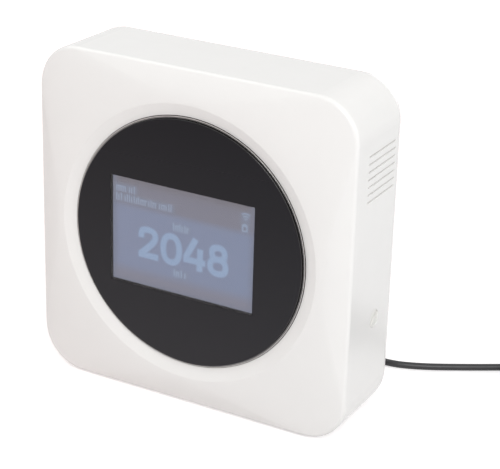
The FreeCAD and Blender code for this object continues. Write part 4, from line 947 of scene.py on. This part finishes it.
white_gloss = moulded(
    "white_gloss",
    (246, 245, 243),
    rough=0.26,
    tone=0.006,
    grain=0.0008,
    depth=0.000002,
    patchy=0.012,
)
wear(white_gloss, "front_housing", "rear_cover")
wear(moulded("black_print", (40, 40, 43), rough=0.5, tone=0.1), "lens_mask")
wear(
    moulded("black_foam", (26, 26, 27), rough=0.9, tone=0.2, depth=0.00005),
    "lens_gasket",
    "inlet_gasket",
)
black_plastic = moulded("black_plastic", (28, 28, 30), rough=0.38, tone=0.12)
wear(black_plastic, "switch_body", "lock_cam", "pm_connector")
wear(brushed("tray_steel", (186, 188, 190), rough=0.34, stretch=(14, 1, 1)), "lcd_frame")
wear(moulded("flex_amber", (170, 104, 34), rough=0.3, tone=0.15), "lcd_flex")
wear(
    moulded("grey_plastic", (126, 128, 130), rough=0.5, tone=0.06),
    "display_carrier",
    "switch_plunger",
)
wear(
    brushed("screw_steel", (176, 178, 180), rough=0.26, stretch=(1, 5, 1)),
    "carrier_screws",
    "board_screws",
    "supply_board_screws",
    "air_board_screws",
    "cover_screws",
    "lock_clip",
)
wear(board("main_board_mask", GREEN_MASK, GREEN_TRACE, "XZ"), "main_board")
wear(board("supply_board", GREEN_MASK, GREEN_TRACE, "XY"), "supply_board")
wear(board("air_board", BLUE_MASK, BLUE_TRACE, "YZ"), "air_sensor_board", "pm_sensor_board")
wear(
    brushed("tin_shield", (198, 198, 194), rough=0.3, stretch=(1, 1, 10)),
    "processor_shield",
    "usb_socket",
)
wear(
    moulded("chip_black", (30, 30, 32), rough=0.55, tone=0.15, grain=0.0003),
    "board_chips",
    "gas_chips",
    "supply_parts",
)
wear(moulded("capacitor_sleeve", (34, 44, 82), rough=0.3, tone=0.1), "board_capacitors")
wear(
    moulded("connector_cream", (228, 220, 196), rough=0.42, tone=0.04),
    "board_connectors",
    "air_connector",
    "supply_connector",
)
wear(
    brushed("sensor_shell", (168, 172, 178), rough=0.3, stretch=(1, 12, 1)),
    "pm_sensor_case",
    "pm_sensor_lid",
)
wear(brushed("motor_steel", (150, 152, 154), rough=0.3, stretch=(10, 1, 1)), "pm_fan_motor")
wear(moulded("fan_black", (22, 22, 24), rough=0.42, tone=0.12), "pm_fan_rotor")
wear(
    brushed("laser_brass", (198, 164, 88), rough=0.28, stretch=(1, 8, 1)),
    "pm_laser_module",
    "cover_inserts",
)
wear(brushed("gold_can", (208, 178, 102), rough=0.3, stretch=(8, 1, 1)), "co2_sensor_body")
wear(
    moulded("white_membrane", (236, 236, 232), rough=0.85, depth=0.00004),
    "co2_membrane",
    "lcd_backlight",
)
wear(
    moulded("white_satin", (236, 235, 231), rough=0.4, tone=0.02),
    "power_button",
    "side_lock",
)
wear(moulded("foot_rubber", (70, 70, 72), rough=0.8, tone=0.1, depth=0.00004), "rubber_feet")
wear(
    moulded("wire_bundle", (150, 40, 34), rough=0.5, tone=0.3),
    "pm_harness",
    "air_harness",
    "supply_harness",
)
wear(
    brushed("plug_steel", (190, 192, 194), rough=0.24, stretch=(1, 8, 1)),
    "plug_shell",
    "supply_plug_shell",
)
wear(
    moulded("plug_black", (30, 30, 32), rough=0.5, tone=0.1, depth=0.00003),
    "plug_body",
    "cable_strain_relief",
    "supply_plug_relief",
    "supply_plug_body",
)

# ---------------------------------------------------------------- the ring round the glass

RING_STEPS = 256
RING_GAP = 0.1 * MM  # between the glass and the ring
RING_LIP = 1.0 * MM  # thickness of the lip behind the glass
RING_SOFT = 0.12 * MM  # rounding of the edges, with its middle at a share of it
RING_SOFT_MIDDLE = 0.3
# From the ring's inner edge: a fine faint line, and the groove round it; both are light metal
# bands, painted highlights of the ring's edges.
FINE_IN, FINE_OUT = 0.2 * MM, 0.4 * MM
GROOVE_IN, GROOVE_OUT = 0.6 * MM, 1.02 * MM
GROOVE_SLOPE, GROOVE_DEPTH = 0.06 * MM, 0.09 * MM
SHARP_ANGLE = 32  # edges steeper than this stay sharp
# The ring's black, and two light metal bands that paint its highlight lines.
BLACK, PAINTED_HIGHLIGHT, FAINT_HIGHLIGHT = range(3)  # the ring's materials


def make_bezel():
    """The black ring that holds the glass, with fine light metal lines round its face as painted
    highlights.
    """
    low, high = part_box("lens_bezel")
    front, back = low.y, high.y
    lip = back - RING_LIP
    inner, outer = LENS_RADIUS + RING_GAP, (high.x - low.x) / 2
    groove_in, groove_out = inner + GROOVE_IN, inner + GROOVE_OUT
    groove_floor = front + GROOVE_DEPTH
    corner = RING_SOFT * RING_SOFT_MIDDLE
    places = [v.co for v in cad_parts["lens_bezel"].data.vertices]
    opening = min(math.hypot(place.x, place.z - CENTRE_Z) for place in places)
    # Radius and depth of each edge, and the material from there to the next.
    edges = [
        (inner, lip, BLACK),
        (inner, front + RING_SOFT, BLACK),
        (inner + corner, front + corner, BLACK),
        (inner + RING_SOFT, front, BLACK),
        (inner + FINE_IN, front, FAINT_HIGHLIGHT),
        (inner + FINE_OUT, front, BLACK),
        (groove_in, front, PAINTED_HIGHLIGHT),
        (groove_in + GROOVE_SLOPE, groove_floor, PAINTED_HIGHLIGHT),
        (groove_out - GROOVE_SLOPE, groove_floor, PAINTED_HIGHLIGHT),
        (groove_out, front, BLACK),
        (outer - RING_SOFT, front, BLACK),
        (outer - corner, front + corner, BLACK),
        (outer, front + RING_SOFT, BLACK),
        (outer, back, BLACK),
        (opening, back, BLACK),
        (opening, lip, BLACK),
    ]
    points, faces = turned([edge[:2] for edge in edges], RING_STEPS, closed=True)
    ring = add_mesh("glass_ring", points, faces)
    ring.data.shade_smooth()
    shades = [edge[2] for edge in edges for _ in range(RING_STEPS)]
    ring.data.polygons.foreach_set("material_index", shades)
    ring.data.set_sharp_from_angle(angle=math.radians(SHARP_ANGLE))
    finish_piece(ring, black_plastic, stands_for=("lens_bezel",))
    # Light metal for the groove and the faint band: painted highlights on the black ring.
    ring.data.materials.append(brushed("ring_painted_highlight", (186, 184, 182), rough=0.3, tone=0.1))
    ring.data.materials.append(brushed("ring_faint_painted_highlight", (150, 149, 149), rough=0.34, tone=0.1))


make_bezel()

# ---------------------------------------------------------------- the mesh in the slots

SLOT_COUNT = 7
SLOT_PITCH, SLOT_LENGTH, SLOT_WIDTH = 3.46 * MM, 26.8 * MM, 0.9 * MM
MESH_OUTER, MESH_INNER = 0.8 * MM, 1.15 * MM  # its two sides, below the wall's outer side
THREAD_PITCH = 0.3 * MM


def weave_material():
    """A fine pale dust mesh, woven of thin threads, greyed as painted shade of the slots."""
    p = Paint("weave_with_painted_shade")
    threads = []
    for letter in "YZ":
        turns = p.maths("MULTIPLY", p.axis(letter), 2 * math.pi / THREAD_PITCH)
        threads.append(p.remap(p.maths("SINE", turns), -1.0, 1.0, 0.0, 1.0))
    weave = p.maths("MULTIPLY", *threads)
    # Both greys are darker than the mesh's own pale colour: painted shade of the slots.
    return p.set(
        Base_Color=p.mix(weave, to_linear(202, 202, 199), to_linear(223, 223, 220)),
        Roughness=0.8,
        Normal=p.bump(weave, 0.00002),
    )


def make_slot_mesh():
    """Strips of the mesh, one in each slot of both side walls."""
    low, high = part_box("inlet_gasket")
    house_low, house_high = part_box("front_housing")
    middle = (low + high) / 2
    corners = ((-1, -1), (1, -1), (1, 1), (-1, 1))
    quads = [(0, 1, 2, 3), (7, 6, 5, 4)]
    quads += [(k, k + 4, (k + 1) % 4 + 4, (k + 1) % 4) for k in range(4)]
    points, faces = [], []
    for side, wall in ((1, house_high.x), (-1, house_low.x)):
        for index in range(SLOT_COUNT):
            z = middle.z + SLOT_PITCH * (index - (SLOT_COUNT - 1) / 2)
            base = len(points)
            for depth in (MESH_OUTER, MESH_INNER):
                for along, up in corners:
                    y = middle.y + along * SLOT_LENGTH / 2
                    points.append((wall - side * depth, y, z + up * SLOT_WIDTH / 2))
            for quad in quads:
                faces.append(tuple(base + k for k in quad[::side]))
    piece = add_mesh("slot_mesh", points, faces)
    finish_piece(piece, weave_material())


make_slot_mesh()
